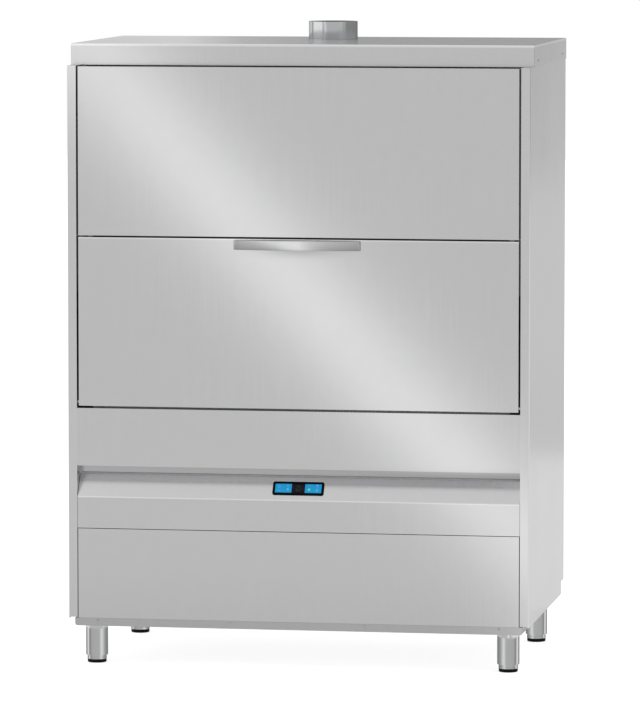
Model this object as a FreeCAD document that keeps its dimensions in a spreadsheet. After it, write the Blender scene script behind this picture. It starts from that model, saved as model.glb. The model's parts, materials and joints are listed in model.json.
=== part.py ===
import FreeCAD, Part
import math
import os
import Sketcher

# Utensil washer with a split front door, in millimetres.
# +X is the right-hand side seen from the front, +Y is the back, +Z is up.
# The origin is on the floor, in the middle of the machine's width and depth.

SIZES = {
    # cabinet
    "cabinet_width": 1460,
    "cabinet_depth": 890,
    "panel_sheet": 1.5,
    "post_face": 28.5,
    "post_return": 90,
    "rear_return": 25,
    "corner_radius": 3,
    "side_overlap": 2,
    "notch_depth": 63,
    "notch_height": 42,
    # base frame, legs and feet
    "frame_bottom": 125,
    "frame_height": 25,
    "frame_inset": 20,
    "frame_sheet": 2,
    "frame_corner": 8,
    "upright_side": 30,
    "front_upright_back": 220,
    "rear_upright_gap": 97,
    "post_foot_gap": 2,
    "leg_radius": 35,
    "leg_inset": 74,
    "front_leg_back": 79,
    "rear_leg_gap": 52,
    "leg_bottom": 24,
    "foot_radius": 30.5,
    "foot_length": 96,
    "foot_clearance": 0.05,
    "foot_chamfer": 1.5,
    "pad_height": 11,
    "pad_radius": 30,
    "pad_rounding": 2.5,
    # cap and exhaust
    "cap_top": 1955,
    "cap_height": 67,
    "cap_setback": 74,
    "cap_overhang": 3,
    "cap_rear_gap": 6,
    "cap_corner": 2,
    "collar_radius": 79,
    "collar_height": 56,
    "collar_wall": 1.5,
    "collar_gap": 104,
    # split door
    "door_side_gap": 6,
    "door_top_gap": 3,
    "door_split": 1354,
    "split_gap": 5,
    "door_bottom": 820.5,
    "sill_gap": 7,
    "door_thickness": 48,
    "door_corner": 1,
    "liner_flange": 20,
    "fit_gap": 0.2,
    "seal_width": 10,
    "seal_gap": 0.3,
    "seal_margin": 2,
    "seal_side_margin": 3,
    "pivot_inset": 12,
    "pivot_radius": 6,
    "pivot_clearance": 0.05,
    "pivot_block": 20,
    "bush_radius": 8,
    "bush_flange_radius": 10,
    "bush_length": 12,
    # handle
    "handle_length": 400,
    "handle_height": 30,
    "handle_drop": 4,
    "handle_standoff": 10,
    "handle_bow": 18,
    "handle_wall": 2.5,
    "handle_end_radius": 7,
    # control recess, fascia and lower panel
    "band_bottom": 632,
    "recess_depth": 48,
    "recess_opening": 28,
    "recess_wall_overlap": 17,
    "slope_drop": 71,
    "fascia_height": 99,
    "seam_gap": 2,
    "fascia_side_gap": 1,
    "fascia_flange": 25,
    "panel_side_gap": 2.5,
    "panel_flange": 22,
    "bezel_width": 163,
    "bezel_height": 47,
    "bezel_proud": 2,
    "bezel_corner": 7,
    "bezel_base": 14,
    "bezel_rim": 6,
    "display_width": 42,
    "window_height": 35,
    "well_rim": 2,
    "key_gap": 0.4,
    "key_proud": 0.6,
    "key_depth": 6,
    # wash chamber and tank
    "chamber_side_gap": 41.5,
    "rear_space": 93,
    "door_clearance": 4,
    "roof_drop": 20,
    "chamber_rise": 5.5,
    "chamber_sheet": 1.5,
    "lip_width": 16,
    "lip_overlap": 18,
    "tank_step": 8,
    "tank_floor": 640,
    "filter_drop": 86,
    "filter_sheet": 2,
    "filter_gap": 0.3,
    "filter_slot_width": 12,
    "filter_slot_pitch": 30,
    "filter_border": 30,
    "heater_rod": 4.5,
    "heater_length": 480,
    "heater_bend": 60,
    "heater_back": 260,
    # spray system
    "arm_set_back": 3.5,
    "arm_wall_gap": 20,
    "manifold_radius": 25,
    "feed_radius": 21,
    "pipe_wall": 2,
    "column_radius": 22,
    "spindle_radius": 10,
    "spindle_clearance": 0.05,
    "lower_manifold_drop": 41,
    "lower_column_rise": 2,
    "upper_manifold_drop": 33,
    "upper_column_reach": 39,
    "wash_hub_radius": 28,
    "wash_hub_height": 17.4,
    "wash_arm_width": 40,
    "wash_arm_height": 15,
    "blade_tip_flat": 2,
    "rinse_hub_radius": 18,
    "rinse_hub_height": 11.4,
    "rinse_arm_short": 60,
    "rinse_tube_radius": 4.5,
    "hub_gap": 0.3,
    "nut_radius": 13,
    "nut_height": 4,
    "nozzle_pitch": 52,
    "nozzle_length": 16,
    "nozzle_width": 4,
    # rack and its rails
    "rail_rise": 6,
    "rail_front_gap": 2,
    "rail_width": 20,
    "rail_leg": 16,
    "rail_sheet": 2.5,
    "rack_side_gap": 10,
    "rack_front_gap": 20,
    "rack_rear_gap": 25,
    "rack_rod": 8,
    "rack_height": 62,
    "rack_wire_radius": 2,
    "rack_long_wires": 6,
    "rack_cross_wires": 13,
    "rack_gap": 0.3,
    # upper door's guides and counterbalance
    "guide_depth": 15.5,
    "guide_gap": 6,
    "guide_sheet": 2,
    "guide_slot": 22.6,
    "guide_tail": 50,
    "roller_radius": 11,
    "roller_width": 8,
    "roller_bore_clearance": 0.05,
    "roller_pin_radius": 4,
    "roller_drop": 36.5,
    "roller_pitch": 90,
    "roller_side_gap": 1,
    "carrier_gap": 7,
    "carrier_sheet": 3,
    "carrier_rise": 143.5,
    "carrier_inset": 6.6,
    "strap_depth": 8,
    "strap_margin": 10,
    "lug_gap": 9.4,
    "lug_depth": 12,
    "lug_rise": 30,
    "lug_height": 12,
    "wire_reach": 11,
    "wire_radius": 2,
    "wire_swing": 30,
    "pulley_drop": 38,
    "spring_radius": 13,
    "spring_wire": 3.5,
    "spring_drop": 80,
    # machinery below the tank
    "pump_back": 250,
    "pump_motor_radius": 80,
    "pump_motor_height": 240,
    "pump_volute_radius": 100,
    "pump_volute_height": 60,
    "pump_neck_radius": 30,
    "seat_gap": 0.3,
    "riser_radius": 20,
    "riser_rise": 280,
    "service_inset": 170,
    "boiler_gap": 205,
    "boiler_radius": 105,
    "boiler_headroom": 60,
    "boiler_foot_radius": 84,
    "boiler_dome": 40,
    "rinse_pump_gap": 35,
    "rinse_pump_radius": 55,
    "rinse_pump_length": 180,
    "drain_pump_radius": 50,
    "drain_pump_length": 130,
    "drain_gap": 135,
    "pump_lift": 5,
    "pump_step": 10,
    "pump_head": 45,
    "box_width": 440,
    "box_front": 30,
    "box_depth": 105,
    "box_height": 250,
    "box_lid": 4,
    # service connections
    "service_rise": 22,
    "service_sheet": 2,
    "drain_radius": 16,
    "drain_stub": 32,
    "inlet_radius": 13.2,
    "inlet_stub": 22,
    "inlet_block": 44,
    "coil_radius": 17.6,
    "gland_across": -300,
    "gland_radius": 14,
    "gland_bore": 7,
    "gland_length": 30,
    "gland_nut_radius": 19.6,
    "gland_nut_length": 7.5,
    # screws
    "rail_screw_inset": 73,
    "rail_screw_drop": 7,
    "cap_screw_rise": 18,
    "cap_screw_front": 98,
    "cap_screw_rear": 98,
    "screw_radius": 4,
    "screw_height": 1.6,
    # cutting tools
    "cut_past": 1,
}

doc = FreeCAD.newDocument("UtensilWasher")
sheet = doc.addObject("Spreadsheet::Sheet", "Sizes")
for row, (alias, value) in enumerate(SIZES.items(), 1):
    sheet.set(f"A{row}", alias)
    sheet.set(f"B{row}", str(value))
    sheet.setAlias(f"B{row}", alias)
doc.recompute()


class Size:
    """A length: its expression on the sheet and what that comes to now."""

    def __init__(self, text, value):
        self.text = text
        self.value = value

    def __add__(self, other):
        return combined(self, "+", other)

    def __radd__(self, other):
        return combined(other, "+", self)

    def __sub__(self, other):
        return combined(self, "-", other)

    def __rsub__(self, other):
        return combined(other, "-", self)

    def __mul__(self, other):
        return combined(self, "*", other)

    def __rmul__(self, other):
        return combined(other, "*", self)

    def __truediv__(self, other):
        return combined(self, "/", other)

    def __neg__(self):
        return Size(f"(0 - {self.text})", -self.value)


def as_size(number):
    if isinstance(number, Size):
        return number
    return Size(f"({number})" if number < 0 else str(number), number)


def combined(left, sign, right):
    left, right = as_size(left), as_size(right)
    results = {
        "+": lambda first, second: first + second,
        "-": lambda first, second: first - second,
        "*": lambda first, second: first * second,
        "/": lambda first, second: first / second,
    }
    return Size(f"({left.text} {sign} {right.text})", results[sign](left.value, right.value))


def root_of(size):
    return Size(f"sqrt({size.text})", math.sqrt(size.value))


def lean_of(rise, run):
    """The angle of a slope, in degrees."""
    return Size(f"atan({rise.text} / {run.text})", math.degrees(math.atan(rise.value / run.value)))


class Sheet:
    """The sheet's sizes by name."""

    def __getattr__(self, name):
        return Size(f"Sizes.{name}", float(SIZES[name]))


at = Sheet()
ZERO = Size("0", 0.0)

# Places that more than one piece is set out from.
half_width = at.cabinet_width / 2
handle_reach = at.handle_standoff + at.handle_bow
front = -(at.cabinet_depth - handle_reach) / 2
back = front + at.cabinet_depth
frame_top = at.frame_bottom + at.frame_height
frame_half = half_width - at.frame_inset
frame_back = back - at.notch_depth - at.frame_sheet
side_bottom = frame_top - at.side_overlap
notch_top = side_bottom + at.notch_height
cap_bottom = at.cap_top - at.cap_height
post_inner = half_width - at.post_face
door_half = post_inner - at.door_side_gap
door_back = front + at.door_thickness
upper_door_top = cap_bottom - at.door_top_gap
upper_door_bottom = at.door_split + at.split_gap / 2
lower_door_top = at.door_split - at.split_gap / 2
band_top = at.door_bottom - at.sill_gap
fascia_top = at.band_bottom - at.recess_opening
fascia_bend = fascia_top - at.slope_drop
fascia_seam = fascia_bend - at.fascia_height
pivot_y = front + at.pivot_inset
pivot_z = at.door_bottom + at.pivot_inset
chamber_half = post_inner - at.chamber_side_gap
chamber_front = door_back + at.door_clearance
chamber_back = back - at.rear_space
chamber_roof = cap_bottom - at.roof_drop
chamber_bottom = at.door_bottom + at.chamber_rise
chamber_outer = chamber_half + at.chamber_sheet
lip_outer = chamber_half + at.lip_width
sill_top = at.door_bottom + at.pivot_inset + at.lip_overlap + at.seal_width
collar_y = chamber_back - at.collar_gap
tank_front = chamber_front + at.tank_step
filter_level = chamber_bottom - at.filter_drop
heater_level = (at.tank_floor + filter_level) / 2
arm_x = chamber_half / 2
arm_y = (chamber_front + chamber_back) / 2 + at.arm_set_back
wash_arm_length = chamber_half - 2 * at.arm_wall_gap
lower_column_top = chamber_bottom + at.lower_column_rise
upper_manifold_level = chamber_roof - at.upper_manifold_drop
upper_column_bottom = upper_manifold_level - at.upper_column_reach
rail_top = sill_top + at.rail_rise
foot_top = at.pad_height + at.foot_length
rear_panel_back = back - at.panel_sheet
pump_y = front + at.pump_back
service_x = half_width - at.service_inset
service_level = frame_top + at.service_rise
guide_inner = post_inner - at.guide_depth
guide_front = chamber_front + at.guide_gap
guide_slot_front = guide_front + at.guide_sheet
guide_back = guide_slot_front + at.guide_slot + at.guide_sheet
roller_y = guide_slot_front + at.guide_slot / 2
roller_upper = upper_door_bottom - at.roller_drop
roller_lower = roller_upper - at.roller_pitch
guide_bottom = roller_lower - at.guide_tail
carrier_inner = guide_inner - at.carrier_gap
lug_front = guide_back + at.lug_gap
lug_back = lug_front + at.lug_depth
lug_top = roller_lower + at.lug_rise
wire_x = carrier_inner + at.wire_reach
pulley_y = lug_front + at.lug_depth / 2 + at.wire_swing
pulley_level = cap_bottom - at.pulley_drop
spring_top = guide_bottom - at.spring_drop

# Each side of the machine: where it lies along X, and its name.
SIDES = ((-1, "left"), (1, "right"))

# How far a cutting tool stands past what it cuts.
PAST = at.cut_past


def bind(target, **places):
    """Bind each named property of the object to a size."""
    for name, size in places.items():
        target.setExpression(name.replace("__", "."), as_size(size).text)


def place(target, x=ZERO, y=ZERO, z=ZERO):
    bind(target, Placement__Base__x=x, Placement__Base__y=y, Placement__Base__z=z)
    return target


def block(name, x, y, z):
    """A box between the two ends given on each axis."""
    box = doc.addObject("Part::Box", name)
    bind(box, Length=x[1] - x[0], Width=y[1] - y[0], Height=z[1] - z[0])
    return place(box, x[0], y[0], z[0])


TURNS = {
    "x": FreeCAD.Rotation(FreeCAD.Vector(0, 1, 0), 90),
    "y": FreeCAD.Rotation(FreeCAD.Vector(1, 0, 0), -90),
    "z": FreeCAD.Rotation(),
}


def rod(name, along, radius, length, x=ZERO, y=ZERO, z=ZERO):
    """A cylinder that starts at the point given and runs along the named axis."""
    cylinder = doc.addObject("Part::Cylinder", name)
    cylinder.Placement = FreeCAD.Placement(FreeCAD.Vector(), TURNS[along])
    bind(cylinder, Radius=radius, Height=length)
    return place(cylinder, x, y, z)


def cut(name, base, *tools):
    """The base with the tools taken away."""
    result = doc.addObject("Part::Cut", name)
    result.Base = base
    result.Tool = tools[0] if len(tools) == 1 else fuse(name + "_tools", *tools)
    return result


def fuse(name, *pieces):
    result = doc.addObject("Part::MultiFuse", name)
    result.Shapes = list(pieces)
    result.Refine = True
    return result


def group(name, pieces):
    """Separate solids that share one node."""
    result = doc.addObject("Part::Compound", name)
    result.Links = list(pieces)
    return result


def tube(name, along, outer, wall, length, x=ZERO, y=ZERO, z=ZERO):
    shell = rod(name + "_outer", along, outer, length, x, y, z)
    bore = rod(name + "_bore", along, outer - wall, length, x, y, z)
    return cut(name, shell, bore)


def both_sides(low, high, side):
    """The two ends of a stretch of X on the right-hand side (1) or mirrored (-1)."""
    if side > 0:
        return low, high
    return -high, -low


def new_sketch(body, role, name):
    """A sketch on one of the body's own origin planes."""
    sketch = body.newObject("Sketcher::SketchObject", name)
    plane = [item for item in body.Origin.OriginFeatures if item.Role == role][0]
    sketch.AttachmentSupport = [(plane, "")]
    sketch.MapMode = "FlatFace"
    return sketch


def draw_outline(sketch, corners):
    """A closed outline of straight sides, each corner placed by its two sizes."""
    first = sketch.GeometryCount
    count = len(corners)
    points = [FreeCAD.Vector(as_size(across).value, as_size(up).value, 0) for across, up in corners]
    for index in range(count):
        sketch.addGeometry(Part.LineSegment(points[index], points[(index + 1) % count]), False)
    for index in range(count):
        following = first + (index + 1) % count
        sketch.addConstraint(Sketcher.Constraint("Coincident", first + index, 2, following, 1))
    for index, corner in enumerate(corners):
        for kind, size in zip(("DistanceX", "DistanceY"), corner):
            size = as_size(size)
            rule = Sketcher.Constraint(kind, -1, 1, first + index, 1, size.value)
            number = sketch.addConstraint(rule)
            sketch.setExpression(f"Constraints[{number}]", size.text)


def rectangle(x, y):
    return [(x[0], y[0]), (x[1], y[0]), (x[1], y[1]), (x[0], y[1])]


def pad(body, sketch, length, midplane=False, reverse=False):
    feature = body.newObject("PartDesign::Pad", sketch.Name + "_pad")
    feature.Profile = sketch
    feature.Midplane = midplane
    feature.Reversed = reverse
    bind(feature, Length=length)
    return feature


def pocket(body, sketch, length):
    """A cut upwards from the sketch."""
    feature = body.newObject("PartDesign::Pocket", sketch.Name + "_pocket")
    feature.Profile = sketch
    feature.Reversed = True
    bind(feature, Length=length)
    return feature


def new_body(name):
    return doc.addObject("PartDesign::Body", name)


def padded(name, role, corners, length, midplane=False, reverse=False):
    """A body with one outline and one pad."""
    body = new_body(name)
    sketch = new_sketch(body, role, name + "_outline")
    draw_outline(sketch, corners)
    pad(body, sketch, length, midplane, reverse)
    return body


def rounded(body, feature_name, radius, wanted):
    """Round the edges of the body's last feature that the test picks."""
    doc.recompute()
    base = body.Tip
    names = [f"Edge{number}" for number, edge in enumerate(base.Shape.Edges, 1) if wanted(edge)]
    fillet = body.newObject("PartDesign::Fillet", feature_name)
    fillet.Base = (base, names)
    bind(fillet, Radius=radius)
    return fillet


def turned(name, profile, x=ZERO, y=ZERO, z=ZERO):
    """A body turned about a vertical axis from corners given as radius and height."""
    body = new_body(name)
    sketch = new_sketch(body, "XZ_Plane", name + "_profile")
    draw_outline(sketch, profile)
    turn = body.newObject("PartDesign::Revolution", name + "_turn")
    turn.Profile = sketch
    turn.ReferenceAxis = (sketch, ["V_Axis"])
    turn.Angle = 360
    return place(body, x, y, z)


# How near two lengths are when they count as equal.
NEAR = 0.01


def runs_along(edge, axis):
    """Whether an edge is a straight line along the named axis."""
    if not isinstance(edge.Curve, Part.Line):
        return False
    direction = edge.Curve.Direction
    return abs(getattr(direction, axis)) > 1 - NEAR


def close_to(number, size):
    return abs(number - as_size(size).value) < NEAR


nodes = []


def node(name, shape):
    """Hand a finished sub-part over under its own label."""
    shape.Label = name
    nodes.append(shape)
    return shape


# Base frame, legs and feet.

def upright_places():
    """The front of each upright, and its name."""
    return ((front + at.front_upright_back, "front"), (chamber_back - at.rear_upright_gap, "rear"))


def make_base_frame():
    sheet_wall = at.frame_sheet
    outer = padded("frame_outer", "XZ_Plane",
                   rectangle((-frame_half, frame_half), (at.frame_bottom, frame_top)),
                   frame_back - front, reverse=True)
    rounded(outer, "frame_corners", at.frame_corner,
            lambda edge: runs_along(edge, "y") and close_to(edge.Vertexes[0].Z, at.frame_bottom))
    place(outer, y=front)
    inner = block("frame_inner",
                  (-frame_half + sheet_wall, frame_half - sheet_wall),
                  (front + sheet_wall, frame_back - sheet_wall),
                  (at.frame_bottom - PAST, frame_top - sheet_wall))
    tray = cut("frame_tray", outer, inner)
    uprights = []
    for side, hand in SIDES:
        for near, end in upright_places():
            low = chamber_outer + at.seat_gap
            across = both_sides(low, low + at.upright_side, side)
            deep = (near, near + at.upright_side)
            uprights.append(block(f"upright_{end}_{hand}", across, deep,
                                  (frame_top - sheet_wall, chamber_bottom)))
    upstand = block("frame_upstand", (-frame_half, frame_half),
                    (frame_back - at.service_sheet, frame_back),
                    (frame_top - sheet_wall, notch_top))
    whole = fuse("frame_whole", tray, upstand, *uprights)
    holes = []
    for name, radius, x in (("drain_hole", at.drain_radius, -service_x),
                            ("inlet_hole", at.inlet_radius, service_x),
                            ("gland_hole", at.gland_radius, at.gland_across)):
        holes.append(rod(name, "y", radius + at.fit_gap, at.service_sheet + 2 * PAST, x,
                         frame_back - at.service_sheet - PAST, service_level))
    node("base_frame", cut("base_frame_cut", whole, *holes))


def leg_places():
    """Each leg's name, X and Y."""
    across = half_width - at.leg_inset
    return [
        ("front_left", -across, front + at.front_leg_back),
        ("front_right", across, front + at.front_leg_back),
        ("rear_left", -across, frame_back - at.rear_leg_gap),
        ("rear_right", across, frame_back - at.rear_leg_gap),
    ]


def make_legs():
    bore_top = foot_top + at.seat_gap
    leg_top = frame_top - at.frame_sheet
    bore_radius = at.foot_radius + at.foot_clearance
    legs = []
    for name, x, y in leg_places():
        profile = [(ZERO, bore_top), (bore_radius, bore_top), (bore_radius, at.leg_bottom),
                   (at.leg_radius, at.leg_bottom), (at.leg_radius, leg_top), (ZERO, leg_top)]
        legs.append(turned(f"leg_{name}_body", profile, x, y))
    node("leg_tubes", group("leg_group", legs))
    for name, x, y in leg_places():
        chamfer = at.foot_chamfer
        foot = [(ZERO, at.pad_height), (at.foot_radius - chamfer, at.pad_height),
                (at.foot_radius, at.pad_height + chamfer), (at.foot_radius, foot_top - chamfer),
                (at.foot_radius - chamfer, foot_top), (ZERO, foot_top)]
        node(f"foot_{name}", turned(f"foot_{name}_body", foot, x, y))
        rounding = at.pad_rounding
        rubber = [(ZERO, ZERO), (at.pad_radius - rounding, ZERO), (at.pad_radius, rounding),
                  (at.pad_radius, at.pad_height), (ZERO, at.pad_height)]
        node(f"foot_pad_{name}", turned(f"pad_{name}_body", rubber, x, y))


# Outer panels.

def make_side_panel(hand, side):
    wall = at.panel_sheet
    outer = half_width
    corners = [
        (side * outer, ZERO),
        (side * outer, at.cabinet_depth),
        (side * (outer - at.rear_return), at.cabinet_depth),
        (side * (outer - at.rear_return), at.cabinet_depth - wall),
        (side * (outer - wall), at.cabinet_depth - wall),
        (side * (outer - wall), wall),
        (side * (post_inner + wall), wall),
        (side * (post_inner + wall), at.post_return),
        (side * post_inner, at.post_return),
        (side * post_inner, ZERO),
    ]
    name = f"side_{hand}"
    body = padded(name, "XY_Plane", corners, cap_bottom - side_bottom)
    edge_x = side * outer

    def is_front_corner(edge):
        middle = edge.CenterOfMass
        return runs_along(edge, "z") and close_to(middle.x, edge_x) and close_to(middle.y, 0)

    rounded(body, name + "_corner", at.corner_radius, is_front_corner)
    place(body, y=front, z=side_bottom)
    top = block(name + "_top",
                both_sides(post_inner + wall, outer - wall, side),
                (front + wall, front + at.cap_setback),
                (cap_bottom - wall, cap_bottom))
    notch = block(name + "_notch",
                  both_sides(outer - at.rear_return - PAST, outer + PAST, side),
                  (back - at.notch_depth, back + PAST),
                  (side_bottom - PAST, notch_top))
    post_foot = block(name + "_post_foot",
                      both_sides(post_inner - PAST, outer - at.corner_radius - wall, side),
                      (front - PAST, front + at.post_return + PAST),
                      (side_bottom - PAST, frame_top + at.post_foot_gap))
    start = post_inner - PAST if side > 0 else -(post_inner + wall + PAST)
    bush_hole = rod(name + "_bush_hole", "x", at.bush_radius + at.fit_gap, wall + 2 * PAST,
                    start, pivot_y, pivot_z)
    closed = fuse(name + "_closed", body, top)
    node(f"side_panel_{hand}", cut(name + "_cut", closed, notch, post_foot, bush_hole))


def make_front_band():
    wall = at.panel_sheet
    ledge = chamber_front - front - at.fit_gap
    wall_bottom = fascia_top - at.recess_wall_overlap
    corners = [
        (ZERO, at.band_bottom),
        (ZERO, band_top),
        (ledge, band_top),
        (ledge, band_top - wall),
        (wall, band_top - wall),
        (wall, at.band_bottom + wall),
        (at.recess_depth + wall, at.band_bottom + wall),
        (at.recess_depth + wall, wall_bottom),
        (at.recess_depth, wall_bottom),
        (at.recess_depth, at.band_bottom),
    ]
    band = padded("band", "YZ_Plane", corners, 2 * post_inner, midplane=True)
    node("front_band", place(band, y=front))


slope_length = root_of(at.recess_depth * at.recess_depth + at.slope_drop * at.slope_drop)
slope_lean = lean_of(at.slope_drop, at.recess_depth)


def on_slope(name, x, up, out):
    """A box on the fascia's slope: X, distance up the slope, distance out of its face."""
    box = doc.addObject("Part::Box", name)
    bind(box, Length=x[1] - x[0], Width=up[1] - up[0], Height=out[1] - out[0])
    return lay_on_slope(box, x[0], up[0], out[0])


def lay_on_slope(target, x, up, out):
    """Turn a piece into the slope's plane and set its corner there."""
    turn = FreeCAD.Rotation(FreeCAD.Vector(1, 0, 0), slope_lean.value)
    target.Placement = FreeCAD.Placement(FreeCAD.Vector(), turn)
    target.setExpression("Placement.Rotation.Angle", slope_lean.text)
    y = front + (up * at.recess_depth - out * at.slope_drop) / slope_length
    z = fascia_bend + (up * at.slope_drop + out * at.recess_depth) / slope_length
    return place(target, x, y, z)


bezel_low = (slope_length - at.bezel_height) / 2
window_low = (slope_length - at.window_height) / 2
window_high = window_low + at.window_height


def make_fascia():
    wall = at.panel_sheet
    low = fascia_seam + at.seam_gap / 2
    steep_wall = wall * slope_length / at.recess_depth
    inner_bend = fascia_bend - steep_wall + wall * at.slope_drop / at.recess_depth
    corners = [
        (ZERO, low),
        (ZERO, fascia_bend),
        (at.recess_depth, fascia_top),
        (at.recess_depth, fascia_top - steep_wall),
        (wall, inner_bend),
        (wall, low + wall),
        (at.fascia_flange, low + wall),
        (at.fascia_flange, low),
    ]
    width = 2 * (post_inner - at.fascia_side_gap)
    panel = place(padded("fascia", "YZ_Plane", corners, width, midplane=True), y=front)
    opening_half = at.bezel_width / 2 - at.bezel_rim + at.fit_gap
    window = on_slope("fascia_window", (-opening_half, opening_half),
                      (window_low - at.fit_gap, window_high + at.fit_gap),
                      (-steep_wall - PAST, PAST))
    node("control_fascia", cut("fascia_cut", panel, window))


def make_display():
    half = at.bezel_width / 2
    plate = padded("bezel_plate", "XY_Plane",
                   rectangle((-half, half), (ZERO, at.bezel_height)), at.bezel_proud)
    rounded(plate, "bezel_corners", at.bezel_corner, lambda edge: runs_along(edge, "z"))
    lay_on_slope(plate, ZERO, bezel_low, ZERO)
    inner_half = half - at.bezel_rim
    tray = on_slope("bezel_tray", (-inner_half, inner_half), (window_low, window_high),
                    (-at.bezel_base, at.bezel_proud / 2))
    rim = at.well_rim
    well = on_slope("bezel_well", (-inner_half + rim, inner_half - rim),
                    (window_low + rim, window_high - rim),
                    (-at.bezel_base + rim, at.bezel_proud + PAST))
    node("display_bezel", cut("bezel_cut", fuse("bezel_fuse", plate, tray), well))
    floor = -at.bezel_base + rim
    glass = on_slope("display_glass", (-at.display_width / 2, at.display_width / 2),
                     (window_low + rim + at.fit_gap, window_high - rim - at.fit_gap),
                     (floor, at.bezel_proud))
    node("display_window", glass)


well_half = at.bezel_width / 2 - at.bezel_rim - at.well_rim
key_width = (well_half - at.display_width / 2 - 3 * at.key_gap) / 2


def key_starts():
    """Each key's name and the X where it starts, from left to right."""
    step = key_width + at.key_gap
    right = at.display_width / 2 + at.key_gap
    return [
        ("power", -right - step - key_width),
        ("drain", -right - key_width),
        ("start", right),
        ("cycle", right + step),
    ]


def make_keys():
    low = window_low + at.well_rim + at.key_gap
    high = window_high - at.well_rim - at.key_gap
    for name, x in key_starts():
        cap = on_slope(f"key_{name}_cap", (x, x + key_width), (low, high),
                       (at.key_proud + at.bezel_proud - at.key_depth, at.key_proud + at.bezel_proud))
        node(f"key_{name}", cap)


def make_lower_front_panel():
    wall = at.panel_sheet
    half = post_inner - at.panel_side_gap
    low = frame_top + at.seat_gap
    high = fascia_seam - at.seam_gap / 2
    pan = block("lower_pan", (-half, half), (front, front + at.panel_flange), (low, high))
    hollow = block("lower_hollow", (-half + wall, half - wall),
                   (front + wall, front + at.panel_flange + PAST), (low + wall, high - wall))
    node("lower_front_panel", cut("lower_panel_cut", pan, hollow))


def make_cap():
    wall = at.panel_sheet
    half = half_width + at.cap_overhang
    cap_front = front + at.cap_setback
    cap_back = back - at.cap_rear_gap
    shell = padded("cap_shell", "XY_Plane",
                   rectangle((-half, half), (cap_front, cap_back)), at.cap_height)
    rounded(shell, "cap_corners", at.cap_corner,
            lambda edge: runs_along(edge, "z") or close_to(edge.CenterOfMass.z, at.cap_height))
    place(shell, z=cap_bottom)
    hollow = block("cap_hollow", (-half + wall, half - wall), (cap_front + wall, cap_back - wall),
                   (cap_bottom - PAST, at.cap_top - wall))
    hole = rod("cap_hole", "z", at.collar_radius - at.collar_wall, at.cap_height + PAST, ZERO,
               collar_y, cap_bottom)
    node("top_cap", cut("cap_cut", shell, hollow, hole))
    collar = tube("collar", "z", at.collar_radius, at.collar_wall, at.collar_height, ZERO,
                  collar_y, at.cap_top)
    node("exhaust_collar", collar)


def make_rear_panel():
    wall = at.panel_sheet
    half = half_width - wall - at.fit_gap
    panel = block("rear_sheet", (-half, half), (rear_panel_back - wall, rear_panel_back),
                  (notch_top, cap_bottom))
    node("rear_panel", panel)


# Split door.

def door_shell(name, low, high):
    """Front pan of one door half, open at its back."""
    wall = at.panel_sheet
    pan = padded(name + "_pan", "XZ_Plane", rectangle((-door_half, door_half), (low, high)),
                 at.door_thickness, reverse=True)
    rounded(pan, name + "_rounding", at.door_corner, lambda edge: close_to(edge.CenterOfMass.y, 0))
    place(pan, y=front)
    hollow = block(name + "_hollow", (-door_half + wall, door_half - wall),
                   (front + wall, door_back + PAST), (low + wall, high - wall))
    return pan, hollow


def door_liner(name, low, high):
    """Inner pan that closes a door half from the back."""
    wall = at.panel_sheet
    gap = wall + at.fit_gap
    half = door_half - gap
    start = door_back - at.liner_flange
    pan = block(name + "_pan", (-half, half), (start, door_back), (low + gap, high - gap))
    hollow = block(name + "_hollow", (-half + wall, half - wall), (start - PAST, door_back - wall),
                   (low + gap + wall, high - gap - wall))
    return cut(name + "_cut", pan, hollow)


def make_upper_door():
    pan, hollow = door_shell("upper_skin", upper_door_bottom, upper_door_top)
    node("upper_door_skin", cut("upper_skin_cut", pan, hollow))
    node("upper_door_liner", door_liner("upper_liner", upper_door_bottom, upper_door_top))


def make_lower_door():
    pan, hollow = door_shell("lower_skin", at.door_bottom, lower_door_top)
    pin_hole = rod("skin_pin_hole", "x", at.pivot_radius + at.fit_gap, 2 * (door_half + PAST),
                   -door_half - PAST, pivot_y, pivot_z)
    node("lower_door_skin", cut("lower_skin_cut", pan, hollow, pin_hole))
    node("lower_door_liner", door_liner("lower_liner", at.door_bottom, lower_door_top))


def seal_face(name, x, z):
    return block(name, x, (door_back, chamber_front - at.seal_gap), z)


def make_seals():
    inner = chamber_half + at.seal_side_margin
    outer = inner + at.seal_width
    margin = at.seal_margin
    top_low = chamber_roof + margin
    upper = [seal_face("upper_seal_top", (-outer, outer), (top_low, top_low + at.seal_width))]
    for side, hand in SIDES:
        upper.append(seal_face(f"upper_seal_{hand}", both_sides(inner, outer, side),
                               (upper_door_bottom + margin, top_low + at.seal_width)))
    node("upper_door_seal", fuse("upper_seal_fuse", *upper))
    low = sill_top - at.seal_width - margin
    lower = [seal_face("lower_seal_bottom", (-outer, outer), (low, low + at.seal_width))]
    for side, hand in SIDES:
        lower.append(seal_face(f"lower_seal_{hand}", both_sides(inner, outer, side),
                               (low, lower_door_top - margin)))
    node("lower_door_seal", fuse("lower_seal_fuse", *lower))


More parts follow.
